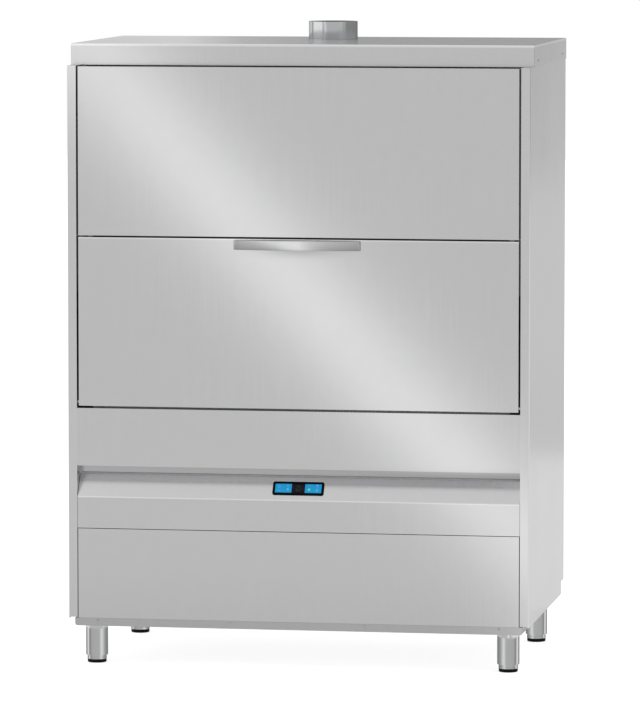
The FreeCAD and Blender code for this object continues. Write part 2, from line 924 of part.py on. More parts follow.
def make_pivots():
    wall = at.panel_sheet
    pins = []
    bushes = []
    reach = at.pivot_block + wall + at.door_side_gap + at.bush_length
    for side, hand in SIDES:
        inner = door_half - wall - at.pivot_block
        length = reach + wall
        start = inner if side > 0 else -(inner + length)
        pin = rod(f"pivot_pin_{hand}", "x", at.pivot_radius, length, start, pivot_y, pivot_z)
        size = at.pivot_inset - wall
        cube = block(f"pivot_block_{hand}", both_sides(inner, door_half - wall, side),
                     (pivot_y - size, pivot_y + size), (pivot_z - size, pivot_z + size))
        pins.append(fuse(f"pivot_{hand}", pin, cube))
        bush_length = at.bush_length
        bush_start = post_inner - wall if side > 0 else -(post_inner - wall + bush_length)
        flange_start = post_inner + wall if side > 0 else -(post_inner + 3 * wall)
        barrel = rod(f"bush_barrel_{hand}", "x", at.bush_radius, bush_length, bush_start,
                     pivot_y, pivot_z)
        flange = rod(f"bush_flange_{hand}", "x", at.bush_flange_radius, 2 * wall, flange_start,
                     pivot_y, pivot_z)
        bore_radius = at.pivot_radius + at.pivot_clearance
        bore = rod(f"bush_bore_{hand}", "x", bore_radius, 3 * bush_length,
                   bush_start - bush_length, pivot_y, pivot_z)
        bushes.append(cut(f"bush_{hand}", fuse(f"bush_solid_{hand}", barrel, flange), bore))
    node("lower_door_pivots", group("pivot_group", pins))
    node("hinge_bushes", group("bush_group", bushes))


def add_arc(sketch, half, level, radius):
    """An arc bowed to -Y between two corners at the same level, on a centre line at X = 0."""
    rise = root_of(radius * radius - half * half)
    centre = FreeCAD.Vector(0, level.value + rise.value, 0)
    circle = Part.Circle(centre, FreeCAD.Vector(0, 0, 1), radius.value)
    middle_angle = -math.pi / 2
    reach = math.asin(half.value / radius.value)
    arc = Part.ArcOfCircle(circle, middle_angle - reach, middle_angle + reach)
    return sketch.addGeometry(arc, False)


def make_handle():
    half = at.handle_length / 2
    wall = at.handle_wall
    bow = at.handle_bow
    radius = (half * half + bow * bow) / (2 * bow)
    level = -at.handle_standoff
    inner_half = half - wall
    inner_radius = radius - wall
    centre_y = level - bow + radius
    inner_level = centre_y - root_of(inner_radius * inner_radius - inner_half * inner_half)
    body = new_body("handle_strip")
    sketch = new_sketch(body, "XY_Plane", "handle_plan")

    def line(start, end):
        points = [FreeCAD.Vector(x.value, y.value, 0) for x, y in (start, end)]
        return sketch.addGeometry(Part.LineSegment(*points), False)

    corners = {
        "left_foot": (-half, ZERO), "left_end": (-half, level),
        "right_end": (half, level), "right_foot": (half, ZERO),
        "right_heel": (inner_half, ZERO), "right_inner": (inner_half, inner_level),
        "left_inner": (-inner_half, inner_level), "left_heel": (-inner_half, ZERO),
    }
    lines = [
        line(corners["left_foot"], corners["left_end"]),
        line(corners["right_end"], corners["right_foot"]),
        line(corners["right_foot"], corners["right_heel"]),
        line(corners["right_heel"], corners["right_inner"]),
        line(corners["left_inner"], corners["left_heel"]),
        line(corners["left_heel"], corners["left_foot"]),
    ]
    outer_arc = add_arc(sketch, half, level, radius)
    inner_arc = add_arc(sketch, inner_half, inner_level, inner_radius)
    joins = [
        (lines[0], 2, outer_arc, 1), (outer_arc, 2, lines[1], 1), (lines[1], 2, lines[2], 1),
        (lines[2], 2, lines[3], 1), (lines[3], 2, inner_arc, 2), (inner_arc, 1, lines[4], 1),
        (lines[4], 2, lines[5], 1), (lines[5], 2, lines[0], 1),
    ]
    for first, first_end, second, second_end in joins:
        sketch.addConstraint(Sketcher.Constraint("Coincident", first, first_end, second, second_end))
    placed = [(lines[0], 1, "left_foot"), (lines[0], 2, "left_end"), (lines[1], 1, "right_end"),
              (lines[1], 2, "right_foot"), (lines[3], 1, "right_heel"), (lines[3], 2, "right_inner"),
              (lines[4], 1, "left_inner"), (lines[4], 2, "left_heel")]
    for geometry, end, corner in placed:
        for kind, size in zip(("DistanceX", "DistanceY"), corners[corner]):
            number = sketch.addConstraint(Sketcher.Constraint(kind, -1, 1, geometry, end, size.value))
            sketch.setExpression(f"Constraints[{number}]", size.text)
    for arc, arc_radius in ((outer_arc, radius), (inner_arc, inner_radius)):
        number = sketch.addConstraint(Sketcher.Constraint("Radius", arc, arc_radius.value))
        sketch.setExpression(f"Constraints[{number}]", arc_radius.text)
    pad(body, sketch, at.handle_height)

    def is_outer_end(edge):
        middle = edge.CenterOfMass
        return runs_along(edge, "z") and close_to(abs(middle.x), half) and middle.y < 0

    rounded(body, "handle_ends", at.handle_end_radius, is_outer_end)
    place(body, y=front, z=lower_door_top - at.handle_drop - at.handle_height)
    node("handle", body)


# Wash chamber, tank and what is in them.

def make_chamber():
    wall = at.chamber_sheet
    shell = block("chamber_shell", (-chamber_outer, chamber_outer),
                  (chamber_front, chamber_back + wall), (chamber_bottom, chamber_roof + wall))
    hollow = block("chamber_hollow", (-chamber_half, chamber_half),
                   (chamber_front - PAST, chamber_back), (chamber_bottom - PAST, chamber_roof))
    walls = cut("chamber_walls", shell, hollow)
    lip_top = upper_door_top - at.fit_gap
    lip = block("lip_plate", (-lip_outer, lip_outer), (chamber_front, chamber_front + wall),
                (chamber_bottom, lip_top))
    mouth = block("lip_mouth", (-chamber_half, chamber_half),
                  (chamber_front - PAST, chamber_front + wall + PAST), (sill_top, chamber_roof))
    frame = cut("lip_frame", lip, mouth)
    lugs = []
    for side, hand in SIDES:
        for near, end in upright_places():
            across = both_sides(chamber_half, chamber_outer + at.seat_gap + at.upright_side, side)
            lugs.append(block(f"lug_{end}_{hand}", across,
                              (near, near + at.upright_side),
                              (chamber_bottom, chamber_bottom + 2 * wall)))
    duct_low = chamber_roof
    duct_radius = at.collar_radius - at.collar_wall
    duct_length = at.cap_top - at.panel_sheet - duct_low
    duct = rod("duct_outer", "z", duct_radius, duct_length, ZERO, collar_y, duct_low)
    duct_bore = rod("duct_bore", "z", duct_radius - wall, duct_length + 2 * PAST, ZERO,
                    collar_y, duct_low - PAST)
    whole = fuse("chamber_whole", walls, frame, duct, *lugs)
    node("wash_chamber", cut("chamber_cut", whole, duct_bore))


def make_tank():
    """The tank's floor and its four walls, welded edge to edge."""
    wall = at.chamber_sheet
    across = (-chamber_outer, chamber_outer)
    inner_top = (at.tank_floor + wall, chamber_bottom)
    along = (tank_front + wall, chamber_back)
    sheet = block("tank_sheet", across, (tank_front, chamber_back + wall),
                  (at.tank_floor, at.tank_floor + wall))
    holes = [rod(f"suction_hole_{hand}", "z", at.pump_neck_radius - wall, wall + 2 * PAST,
                 side * arm_x, pump_y, at.tank_floor - PAST)
             for side, hand in SIDES]
    plates = [
        cut("tank_floor_plate", sheet, *holes),
        block("tank_wall_front", across, (tank_front, tank_front + wall), inner_top),
        block("tank_wall_rear", across, (chamber_back, chamber_back + wall), inner_top),
    ]
    for side, hand in SIDES:
        plates.append(block(f"tank_wall_{hand}", both_sides(chamber_half, chamber_outer, side),
                            along, inner_top))
    node("sump_tank", group("tank_plates", plates))


def make_filters():
    tank_y = tank_front + at.chamber_sheet
    trays = []
    for side, hand in SIDES:
        low_x, high_x = both_sides(at.filter_gap, chamber_half - at.filter_gap, side)
        body = padded(f"filter_{hand}", "XY_Plane",
                      rectangle((low_x, high_x), (tank_y + at.filter_gap, chamber_back - at.filter_gap)),
                      at.filter_sheet)
        slots = new_sketch(body, "XY_Plane", f"filter_slots_{hand}")
        slot_y = tank_y + at.filter_border
        draw_outline(slots, rectangle((low_x + at.filter_border, high_x - at.filter_border),
                                      (slot_y, slot_y + at.filter_slot_width)))
        opened = pocket(body, slots, 2 * at.filter_sheet)
        doc.recompute()
        pattern = body.newObject("PartDesign::LinearPattern", f"filter_pattern_{hand}")
        pattern.Originals = [opened]
        pattern.Direction = (slots, ["V_Axis"])
        room = chamber_back.value - tank_y.value - 2 * at.filter_border.value
        count = int(room / at.filter_slot_pitch.value)
        pattern.Occurrences = count
        bind(pattern, Length=at.filter_slot_pitch * (count - 1))
        body.Tip = pattern
        trays.append(place(body, z=filter_level))
    node("tank_filters", group("filter_group", trays))


def make_heater():
    end = chamber_half
    start = end - at.heater_length
    y = front + at.heater_back
    legs = [rod(f"heater_rod_{index}", "x", at.heater_rod, at.heater_length, start, y + shift,
                heater_level)
            for index, shift in enumerate((-at.heater_bend, at.heater_bend))]
    bend = doc.addObject("Part::Torus", "heater_turn")
    bend.Placement = FreeCAD.Placement(FreeCAD.Vector(), FreeCAD.Rotation(FreeCAD.Vector(0, 0, 1), 90))
    bend.Angle3 = 180
    bind(bend, Radius1=at.heater_bend, Radius2=at.heater_rod)
    place(bend, start, y, heater_level)
    flange_thickness = 2 * at.heater_rod
    flange = block("heater_flange", (end - flange_thickness, end),
                   (y - 2 * at.heater_bend, y + 2 * at.heater_bend),
                   (heater_level - flange_thickness, heater_level + flange_thickness))
    node("tank_heater", fuse("heater_fuse", bend, flange, *legs))


def make_manifold(name, level, column_low, column_high, spindle_low, spindle_high):
    """Cross pipe, feed pipe to the chamber's back wall, and two columns with spindles."""
    radius = at.manifold_radius
    wall = at.pipe_wall
    reach = arm_x + radius
    pipe = rod(name + "_pipe", "x", radius, 2 * reach, -reach, arm_y, level)
    feed = rod(name + "_feed", "y", at.feed_radius, chamber_back - arm_y, ZERO, arm_y, level)
    pipe_bore = rod(name + "_pipe_bore", "x", radius - wall, 2 * (reach - wall), wall - reach, arm_y,
                    level)
    feed_bore = rod(name + "_feed_bore", "y", at.feed_radius - wall, chamber_back - arm_y + PAST, ZERO,
                    arm_y, level)
    pieces = [pipe, feed]
    for side, hand in SIDES:
        x = side * arm_x
        pieces.append(rod(f"{name}_column_{hand}", "z", at.column_radius, column_high - column_low,
                          x, arm_y, column_low))
        pieces.append(rod(f"{name}_spindle_{hand}", "z", at.spindle_radius,
                          spindle_high - spindle_low, x, arm_y, spindle_low))
        nut_low = spindle_high - at.nut_height if spindle_high.value > level.value else spindle_low
        pieces.append(rod(f"{name}_nut_{hand}", "z", at.nut_radius, at.nut_height, x, arm_y, nut_low))
    return cut(name + "_cut", fuse(name + "_fuse", *pieces), pipe_bore, feed_bore)


stack_height = at.wash_hub_height + at.rinse_hub_height + 3 * at.hub_gap + at.nut_height


def make_manifolds():
    lower_top = lower_column_top + stack_height
    lower_level = chamber_bottom - at.lower_manifold_drop
    node("lower_spray_manifold",
         make_manifold("lower_manifold", lower_level, lower_level,
                       lower_column_top, lower_column_top - PAST, lower_top))
    upper_low = upper_column_bottom - stack_height
    upper = make_manifold("upper_manifold", upper_manifold_level, upper_column_bottom,
                          upper_manifold_level, upper_low, upper_column_bottom + PAST)
    riser_y = chamber_back + at.chamber_sheet + at.riser_radius
    riser_low = frame_top + at.riser_rise
    riser = rod("riser_pipe", "z", at.riser_radius,
                upper_manifold_level + at.riser_radius - riser_low, ZERO, riser_y,
                riser_low)
    node("upper_spray_manifold", group("upper_manifold_group", [upper, riser]))


def spray_arm(name, side, level, hub_radius, hub_height, make_blade):
    """A hub on its spindle with a blade through it."""
    x = side * arm_x
    hub = rod(name + "_hub", "z", hub_radius, hub_height, x, arm_y, level)
    bore = rod(name + "_bore", "z", at.spindle_radius + at.spindle_clearance, hub_height + 2 * PAST, x,
               arm_y, level - PAST)
    return cut(name + "_cut", fuse(name + "_solid", hub, make_blade(x)), bore)


def wash_blade(name, low):
    def blade(x):
        half = wash_arm_length / 2
        width = at.wash_arm_width / 2
        body = padded(name + "_blade", "XY_Plane", rectangle((-half, half), (-width, width)),
                      at.wash_arm_height)
        rounded(body, name + "_tips", width - at.blade_tip_flat, lambda edge: runs_along(edge, "z"))
        slots = new_sketch(body, "XY_Plane", name + "_slots")
        start = at.wash_hub_radius + at.nozzle_pitch / 2
        draw_outline(slots, rectangle((start, start + at.nozzle_length),
                                      (-at.nozzle_width / 2, at.nozzle_width / 2)))
        opened = pocket(body, slots, 2 * at.wash_arm_height)
        doc.recompute()
        row = body.newObject("PartDesign::LinearPattern", name + "_row")
        row.Originals = [opened]
        row.Direction = (slots, ["H_Axis"])
        room = half.value - width.value - start.value - at.nozzle_length.value
        gaps = int(room / at.nozzle_pitch.value)
        row.Occurrences = gaps + 1
        bind(row, Length=at.nozzle_pitch * gaps)
        body.Tip = row
        doc.recompute()
        return place(body, x, arm_y, low)
    return blade


def rinse_blade(name, level):
    def blade(x):
        length = wash_arm_length - at.rinse_arm_short
        return rod(name + "_tube", "y", at.rinse_tube_radius, length, x, arm_y - length / 2, level)
    return blade


def make_arms():
    lower_wash = lower_column_top + at.hub_gap
    lower_rinse = lower_wash + at.wash_hub_height + at.hub_gap
    upper_wash = upper_column_bottom - at.hub_gap - at.wash_hub_height
    upper_rinse = upper_wash - at.hub_gap - at.rinse_hub_height
    for place_name, wash_low, rinse_low in (("lower", lower_wash, lower_rinse),
                                            ("upper", upper_wash, upper_rinse)):
        for side, hand in SIDES:
            name = f"wash_arm_{place_name}_{hand}"
            shift = (at.wash_hub_height - at.wash_arm_height) / 2
            node(name, spray_arm(name, side, wash_low, at.wash_hub_radius, at.wash_hub_height,
                                 wash_blade(name, wash_low + shift)))
            name = f"rinse_arm_{place_name}_{hand}"
            node(name, spray_arm(name, side, rinse_low, at.rinse_hub_radius, at.rinse_hub_height,
                                 rinse_blade(name, rinse_low + at.rinse_hub_height / 2)))


def make_rack():
    rails = []
    for side, hand in SIDES:
        deep = (chamber_front + at.chamber_sheet + at.rail_front_gap, chamber_back)
        top = block(f"rail_top_{hand}", both_sides(chamber_half - at.rail_width, chamber_half, side),
                    deep, (rail_top - at.rail_sheet, rail_top))
        leg = block(f"rail_leg_{hand}", both_sides(chamber_half - at.rail_sheet, chamber_half, side),
                    deep, (rail_top - at.rail_leg, rail_top))
        rails.append(fuse(f"rail_{hand}", top, leg))
    node("rack_rails", group("rail_group", rails))

    bar = at.rack_rod
    half = chamber_half - at.rack_side_gap
    near = chamber_front + at.rack_front_gap
    far = chamber_back - at.rack_rear_gap
    low = rail_top + at.rack_gap
    high = low + at.rack_height
    pieces = []
    for ring, level in (("low", low), ("high", high - bar)):
        for end, y in (("front", near), ("rear", far - bar)):
            pieces.append(block(f"rack_{ring}_{end}", (-half, half), (y, y + bar), (level, level + bar)))
        for side, hand in SIDES:
            pieces.append(block(f"rack_{ring}_{hand}", both_sides(half - bar, half, side),
                                (near + bar, far - bar), (level, level + bar)))
    posts = [(x, y) for x in (-half, -half / 3, half / 3, half - bar) for y in (near, far - bar)]
    posts += [(x, (near + far - bar) / 2) for x in (-half, half - bar)]
    for index, (x, y) in enumerate(posts):
        pieces.append(block(f"rack_post_{index}", (x, x + bar), (y, y + bar), (low + bar, high - bar)))
    cross = int(at.rack_cross_wires.value)
    for index in range(cross):
        x = -half + 2 * half * (index + 1) / (cross + 1)
        pieces.append(rod(f"rack_cross_{index}", "y", at.rack_wire_radius, far - near - 2 * bar, x,
                          near + bar, low + bar - at.rack_wire_radius))
    along = int(at.rack_long_wires.value)
    for index in range(along):
        y = near + (far - near) * (index + 1) / (along + 1)
        pieces.append(rod(f"rack_long_{index}", "x", at.rack_wire_radius, 2 * (half - bar), bar - half,
                          y, low + at.rack_wire_radius))
    node("rack", group("rack_group", pieces))


# Upper door's guides and counterbalance.

def make_guides():
    guides = []
    for side, hand in SIDES:
        full = block(f"guide_full_{hand}", both_sides(guide_inner, post_inner, side),
                     (guide_front, guide_back), (guide_bottom, upper_door_top))
        slot = block(f"guide_slot_{hand}",
                     both_sides(guide_inner - PAST, post_inner - at.guide_sheet, side),
                     (guide_slot_front, guide_slot_front + at.guide_slot),
                     (guide_bottom - PAST, upper_door_top + PAST))
        guides.append(cut(f"guide_{hand}", full, slot))
    node("door_guides", group("guide_group", guides))


def make_carriers():
    pieces = []
    for side, hand in SIDES:
        across = both_sides(carrier_inner, carrier_inner + at.carrier_sheet, side)
        strap_middle = door_back + at.strap_depth / 2
        strap_back = door_back + at.strap_depth
        plate_back = guide_back - at.carrier_inset
        door_strap = block(f"carrier_strap_{hand}", across, (door_back, strap_back),
                           (upper_door_bottom + at.strap_margin, upper_door_bottom + at.carrier_rise))
        plate = block(f"carrier_plate_{hand}", across, (strap_middle, plate_back),
                      (roller_lower - 2 * at.roller_radius, roller_upper + 2 * at.roller_radius))
        neck = block(f"carrier_neck_{hand}", across, (strap_middle, strap_back),
                     (roller_upper, upper_door_bottom + 2 * at.strap_margin))
        lug_level = (lug_top - at.lug_height, lug_top)
        tail = block(f"carrier_tail_{hand}", across, (plate_back - PAST, lug_back), lug_level)
        lug = block(f"carrier_lug_{hand}", both_sides(carrier_inner, wire_x + 2 * at.wire_radius, side),
                    (lug_front, lug_back), lug_level)
        solids = [door_strap, plate, neck, tail, lug]
        roller_inner = guide_inner + at.roller_side_gap
        for index, level in enumerate((roller_lower, roller_upper)):
            pin_length = roller_inner + at.roller_width - carrier_inner
            start = carrier_inner if side > 0 else -(carrier_inner + pin_length)
            solids.append(rod(f"roller_pin_{hand}_{index}", "x", at.roller_pin_radius, pin_length,
                              start, roller_y, level))
            start = roller_inner if side > 0 else -(roller_inner + at.roller_width)
            wall = at.roller_radius - at.roller_pin_radius - at.roller_bore_clearance
            pieces.append(tube(f"roller_{hand}_{index}", "x", at.roller_radius, wall,
                               at.roller_width, start, roller_y, level))
        pieces.append(fuse(f"carrier_{hand}", *solids))
    node("upper_door_rollers", group("carrier_group", pieces))


def make_counterbalance():
    pieces = []
    front_run = pulley_y - at.wire_swing
    rear_run = pulley_y + at.wire_swing
    for side, hand in SIDES:
        x = side * wire_x
        spring_solid = rod(f"spring_solid_{hand}", "z", at.spring_radius, spring_top - frame_top, x,
                           rear_run, frame_top)
        spring_bore = rod(f"spring_bore_{hand}", "z", at.spring_radius - at.spring_wire,
                          spring_top - frame_top - 2 * at.spring_wire, x, rear_run,
                          frame_top + at.spring_wire)
        spring = cut(f"spring_{hand}", spring_solid, spring_bore)
        rear_wire = rod(f"rear_wire_{hand}", "z", at.wire_radius, pulley_level - spring_top, x,
                        rear_run, spring_top)
        front_wire = rod(f"front_wire_{hand}", "z", at.wire_radius, pulley_level - lug_top, x,
                         front_run, lug_top)
        over = doc.addObject("Part::Torus", f"over_wire_{hand}")
        turn = FreeCAD.Rotation(FreeCAD.Vector(0, 0, 1), 90)
        tip = FreeCAD.Rotation(FreeCAD.Vector(1, 0, 0), 90)
        over.Placement = FreeCAD.Placement(FreeCAD.Vector(), turn.multiply(tip))
        over.Angle3 = 180
        bind(over, Radius1=at.wire_swing, Radius2=at.wire_radius)
        place(over, x, pulley_y, pulley_level)
        pieces.append(fuse(f"balance_{hand}", spring, rear_wire, front_wire, over))
    node("counter_springs", group("spring_group", pieces))


# Machinery below the tank.

def make_pumps():
    pumps = []
    neck_top = at.tank_floor - at.seat_gap
    motor_top = frame_top + at.pump_motor_height
    volute_top = motor_top + at.pump_volute_height
    for side, hand in SIDES:
        profile = [
            (ZERO, frame_top), (at.pump_motor_radius, frame_top),
            (at.pump_motor_radius, motor_top), (at.pump_volute_radius, motor_top),
            (at.pump_volute_radius, volute_top), (at.pump_neck_radius, volute_top),
            (at.pump_neck_radius, neck_top), (ZERO, neck_top),
        ]
        body = turned(f"pump_{hand}", profile, side * arm_x, pump_y)
        bore = rod(f"pump_bore_{hand}", "z", at.pump_neck_radius - at.chamber_sheet,
                   neck_top - motor_top, side * arm_x, pump_y,
                   motor_top + at.pump_volute_height / 4)
        pumps.append(cut(f"pump_cut_{hand}", body, bore))
    node("wash_pumps", group("pump_group", pumps))


boiler_y = frame_back - at.boiler_gap


def make_boiler():
    low = frame_top
    high = at.tank_floor - at.boiler_headroom
    foot = at.boiler_foot_radius
    radius = at.boiler_radius
    profile = [
        (ZERO, low), (foot, low), (foot, low + at.boiler_dome / 2),
        (radius, low + at.boiler_dome), (radius, high - at.boiler_dome),
        (radius / 2, high), (ZERO, high),
    ]
    node("rinse_boiler", turned("boiler", profile, service_x, boiler_y))


def lying_pump(name, x, near, radius, length):
    """A small motor that lies along Y on a foot, with its pump head at the back."""
    level = frame_top + radius + at.pump_lift
    motor_radius = radius - at.pump_step
    motor = rod(name + "_motor", "y", motor_radius, length, x, near, level)
    head = rod(name + "_head", "y", radius, at.pump_head, x, near + length - at.pump_head, level)
    foot_half = motor_radius - at.pump_step
    foot = block(name + "_foot", (x - foot_half, x + foot_half), (near, near + length - at.pump_step),
                 (frame_top, level))
    return [motor, head, foot]


def make_small_pumps():
    near = boiler_y - at.boiler_radius - at.rinse_pump_gap - at.rinse_pump_length
    node("rinse_pump", fuse("rinse_pump_fuse",
                            *lying_pump("rinse_pump_part", service_x, near, at.rinse_pump_radius,
                                        at.rinse_pump_length)))
    near = frame_back - at.drain_gap - at.drain_pump_length
    pieces = lying_pump("drain_pump_part", -service_x, near, at.drain_pump_radius,
                        at.drain_pump_length)
    pipe_start = near + at.drain_pump_length / 2
    stub_start = frame_back + at.seat_gap
    pipe = rod("drain_pipe", "y", at.drain_radius - at.pipe_wall, stub_start - pipe_start,
               -service_x, pipe_start, service_level)
    stub = rod("drain_stub", "y", at.drain_radius, at.drain_stub, -service_x, stub_start,
               service_level)
    bore_start = near + at.drain_pump_length + at.drain_radius
    bore = rod("drain_bore", "y", at.drain_radius - 2 * at.pipe_wall,
               stub_start + at.drain_stub - bore_start + PAST, -service_x, bore_start,
               service_level)
    node("drain_pump", cut("drain_pump_cut", fuse("drain_pump_fuse", *pieces, pipe, stub), bore))


def make_services():
    half = at.inlet_block / 2
    near = frame_back - at.service_sheet - at.inlet_block
    body = block("inlet_body", (service_x - half, service_x + half),
                 (near, near + at.inlet_block), (frame_top, service_level + half))
    neck = rod("inlet_neck", "y", at.inlet_radius - at.pipe_wall, half + at.service_sheet + at.seat_gap,
               service_x, near + half, service_level)
    stub = rod("inlet_stub", "y", at.inlet_radius, at.inlet_stub, service_x,
               frame_back + at.seat_gap, service_level)
    coil = rod("inlet_coil", "z", at.coil_radius, at.inlet_block, service_x, near + half,
               service_level + half)
    node("water_inlet", fuse("inlet_fuse", body, neck, stub, coil))

    gland_start = frame_back - at.gland_length / 2
    barrel = rod("gland_barrel", "y", at.gland_radius, at.gland_length, at.gland_across, gland_start,
                 service_level)
    nut = rod("gland_nut", "y", at.gland_nut_radius, at.gland_nut_length, at.gland_across,
              frame_back, service_level)
    hole = rod("gland_bore", "y", at.gland_bore, at.gland_length + 2 * PAST, at.gland_across,
               gland_start - PAST, service_level)
    node("cable_gland", cut("gland_cut", fuse("gland_fuse", barrel, nut), hole))

    half = at.box_width / 2
    near = front + at.box_front
    case = block("box_case", (-half, half), (near + at.box_lid, near + at.box_depth),
                 (frame_top, frame_top + at.box_height))
    lid = block("box_cover", (-half - at.box_lid, half + at.box_lid), (near, near + at.box_lid),
                (frame_top, frame_top + at.box_height + at.box_lid))
    node("electrical_box", fuse("box_fuse", case, lid))


def make_screws():
    heads = []
    level = frame_top - at.rail_screw_drop
    outer = frame_half - at.rail_screw_inset
    for index, x in enumerate((-outer, -outer / 3, outer / 3, outer)):
        heads.append(rod(f"rail_screw_{index}", "y", at.screw_radius, at.screw_height, x,
                         front - at.screw_height, level))
    level = cap_bottom + at.cap_screw_rise
    outer = half_width + at.cap_overhang
    for side, hand in SIDES:
        start = outer if side > 0 else -(outer + at.screw_height)
        for end, y in (("front", front + at.cap_setback + at.cap_screw_front),
                       ("rear", back - at.cap_rear_gap - at.cap_screw_rear)):
            heads.append(rod(f"cap_screw_{end}_{hand}", "x", at.screw_radius, at.screw_height, start,
                             y, level))
    node("panel_screws", group("screw_group", heads))


def build():
    make_base_frame()
    make_legs()
    make_side_panel("left", -1)
    make_side_panel("right", 1)
    make_front_band()
    make_fascia()
    make_display()
    make_keys()
    make_lower_front_panel()
    make_cap()
    make_rear_panel()
    make_upper_door()
    make_lower_door()
    make_seals()
    make_pivots()
    make_handle()
    make_chamber()
    make_tank()
    make_filters()
    make_heater()
    make_manifolds()
    make_arms()
    make_rack()
    make_guides()
    make_carriers()
    make_counterbalance()
    make_pumps()
    make_boiler()
    make_small_pumps()
    make_services()
    make_screws()
    doc.recompute()


def check_document():
    """Stop if any object failed or any sub-part is not a sound solid."""
    for item in doc.Objects:
        if "Invalid" in item.State or "Error" in item.State:
            raise RuntimeError(f"{item.Name} failed: {item.State}")
    for item in nodes:
        if item.Shape.isNull() or not item.Shape.isValid():
            raise RuntimeError(f"{item.Label} has no sound shape")
        if not item.Shape.Solids:
            raise RuntimeError(f"{item.Label} has no solid")


def write_parts():
    os.makedirs("parts", exist_ok=True)
    for item in nodes:
        item.Shape.exportStep(f"parts/{item.Label}.step")
        box = item.Shape.BoundBox
        print(f"{item.Label}: {len(item.Shape.Solids)} solids, {item.Shape.Volume / 1000:.1f} cm3, "
              f"x {box.XMin:.1f} {box.XMax:.1f}, y {box.YMin:.1f} {box.YMax:.1f}, "
              f"z {box.ZMin:.1f} {box.ZMax:.1f}")


build()
check_document()
write_parts()
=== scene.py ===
import json
import math

import bmesh
import bpy
from mathutils import Matrix, Vector


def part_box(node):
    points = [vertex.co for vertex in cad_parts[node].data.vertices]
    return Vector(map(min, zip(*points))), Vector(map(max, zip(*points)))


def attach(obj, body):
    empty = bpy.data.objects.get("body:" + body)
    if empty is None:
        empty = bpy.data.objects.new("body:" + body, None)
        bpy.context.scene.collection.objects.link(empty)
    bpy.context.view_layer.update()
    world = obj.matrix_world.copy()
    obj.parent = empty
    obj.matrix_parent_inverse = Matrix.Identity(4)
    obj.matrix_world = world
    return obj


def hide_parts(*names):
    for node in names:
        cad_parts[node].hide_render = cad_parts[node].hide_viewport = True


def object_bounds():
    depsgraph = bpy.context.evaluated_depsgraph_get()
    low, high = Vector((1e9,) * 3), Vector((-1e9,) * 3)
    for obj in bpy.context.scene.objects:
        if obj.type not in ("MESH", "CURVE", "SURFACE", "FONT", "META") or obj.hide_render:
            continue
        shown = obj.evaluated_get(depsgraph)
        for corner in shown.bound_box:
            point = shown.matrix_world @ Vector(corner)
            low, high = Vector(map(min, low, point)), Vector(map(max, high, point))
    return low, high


# A free-standing utensil washer in brushed stainless steel, in metres.
# +X is the right-hand side seen from the front, +Y is the back, +Z is up.

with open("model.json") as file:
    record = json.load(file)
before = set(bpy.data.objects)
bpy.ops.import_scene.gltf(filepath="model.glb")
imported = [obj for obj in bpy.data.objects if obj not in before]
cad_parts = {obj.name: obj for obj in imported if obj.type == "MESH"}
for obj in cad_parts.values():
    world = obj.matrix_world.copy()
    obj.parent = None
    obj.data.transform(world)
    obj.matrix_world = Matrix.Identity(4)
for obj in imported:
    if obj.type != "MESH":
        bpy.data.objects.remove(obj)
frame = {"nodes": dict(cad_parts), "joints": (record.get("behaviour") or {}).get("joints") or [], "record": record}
cad_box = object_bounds()
CAD = frame["nodes"]
CORNERS = ("front_left", "front_right", "rear_left", "rear_right")


# Camera.

CAMERA_PLACE = (2.895, -17.278, 2.497)
CAMERA_TURN_LEFT = 0.166
CAMERA_DIP = 0.088
CAMERA_LENS = 278.8
CAMERA_FILM = 36
CAMERA_REACH = 200


def set_camera():
    camera = bpy.data.objects.new("camera", bpy.data.cameras.new("camera"))
    bpy.context.scene.collection.objects.link(camera)
    camera.location = CAMERA_PLACE
    camera.rotation_euler = (math.pi / 2 - CAMERA_DIP, 0, CAMERA_TURN_LEFT)
    camera.data.lens = CAMERA_LENS
    camera.data.sensor_width = CAMERA_FILM
    camera.data.clip_end = CAMERA_REACH
    bpy.context.scene.camera = camera


set_camera()


# Putting node trees together.

NOISE_LOW, NOISE_HIGH = 0.25, 0.75


class Nodes:
    """A tree of shader nodes while it is put together."""

    def __init__(self, tree):
        self.tree = tree

    def join(self, node, inputs):
        for key, value in inputs.items():
            if isinstance(value, bpy.types.NodeSocket):
                self.tree.links.new(value, node.inputs[key])
            else:
                node.inputs[key].default_value = value

    def add(self, kind, inputs=None, **settings):
        node = self.tree.nodes.new("ShaderNode" + kind)
        for key, value in settings.items():
            setattr(node, key, value)
        self.join(node, inputs or {})
        return node

    def math(self, operation, *values):
        return self.add("Math", dict(enumerate(values)), operation=operation).outputs[0]

    def object_place(self):
        return self.add("TexCoord").outputs["Object"]

    def ramp(self, value, stops):
        """A grey that runs through (place, factor) stops, and the factor that white stands for."""
        first, last = stops[0][0], stops[-1][0]
        strongest = max(factor for _, factor in stops)
        share = self.add("MapRange", {"Value": value, "From Min": first, "From Max": last}).outputs[0]
        ramp = self.add("ValToRGB", {0: share})
        elements = ramp.color_ramp.elements
        elements.remove(elements[1])
        for number, (place, factor) in enumerate(stops):
            position = (place - first) / (last - first)
            element = elements[0] if number == 0 else elements.new(position)
            element.position = position
            element.color = (*[factor / strongest] * 3, 1)
        return ramp.outputs[0], strongest


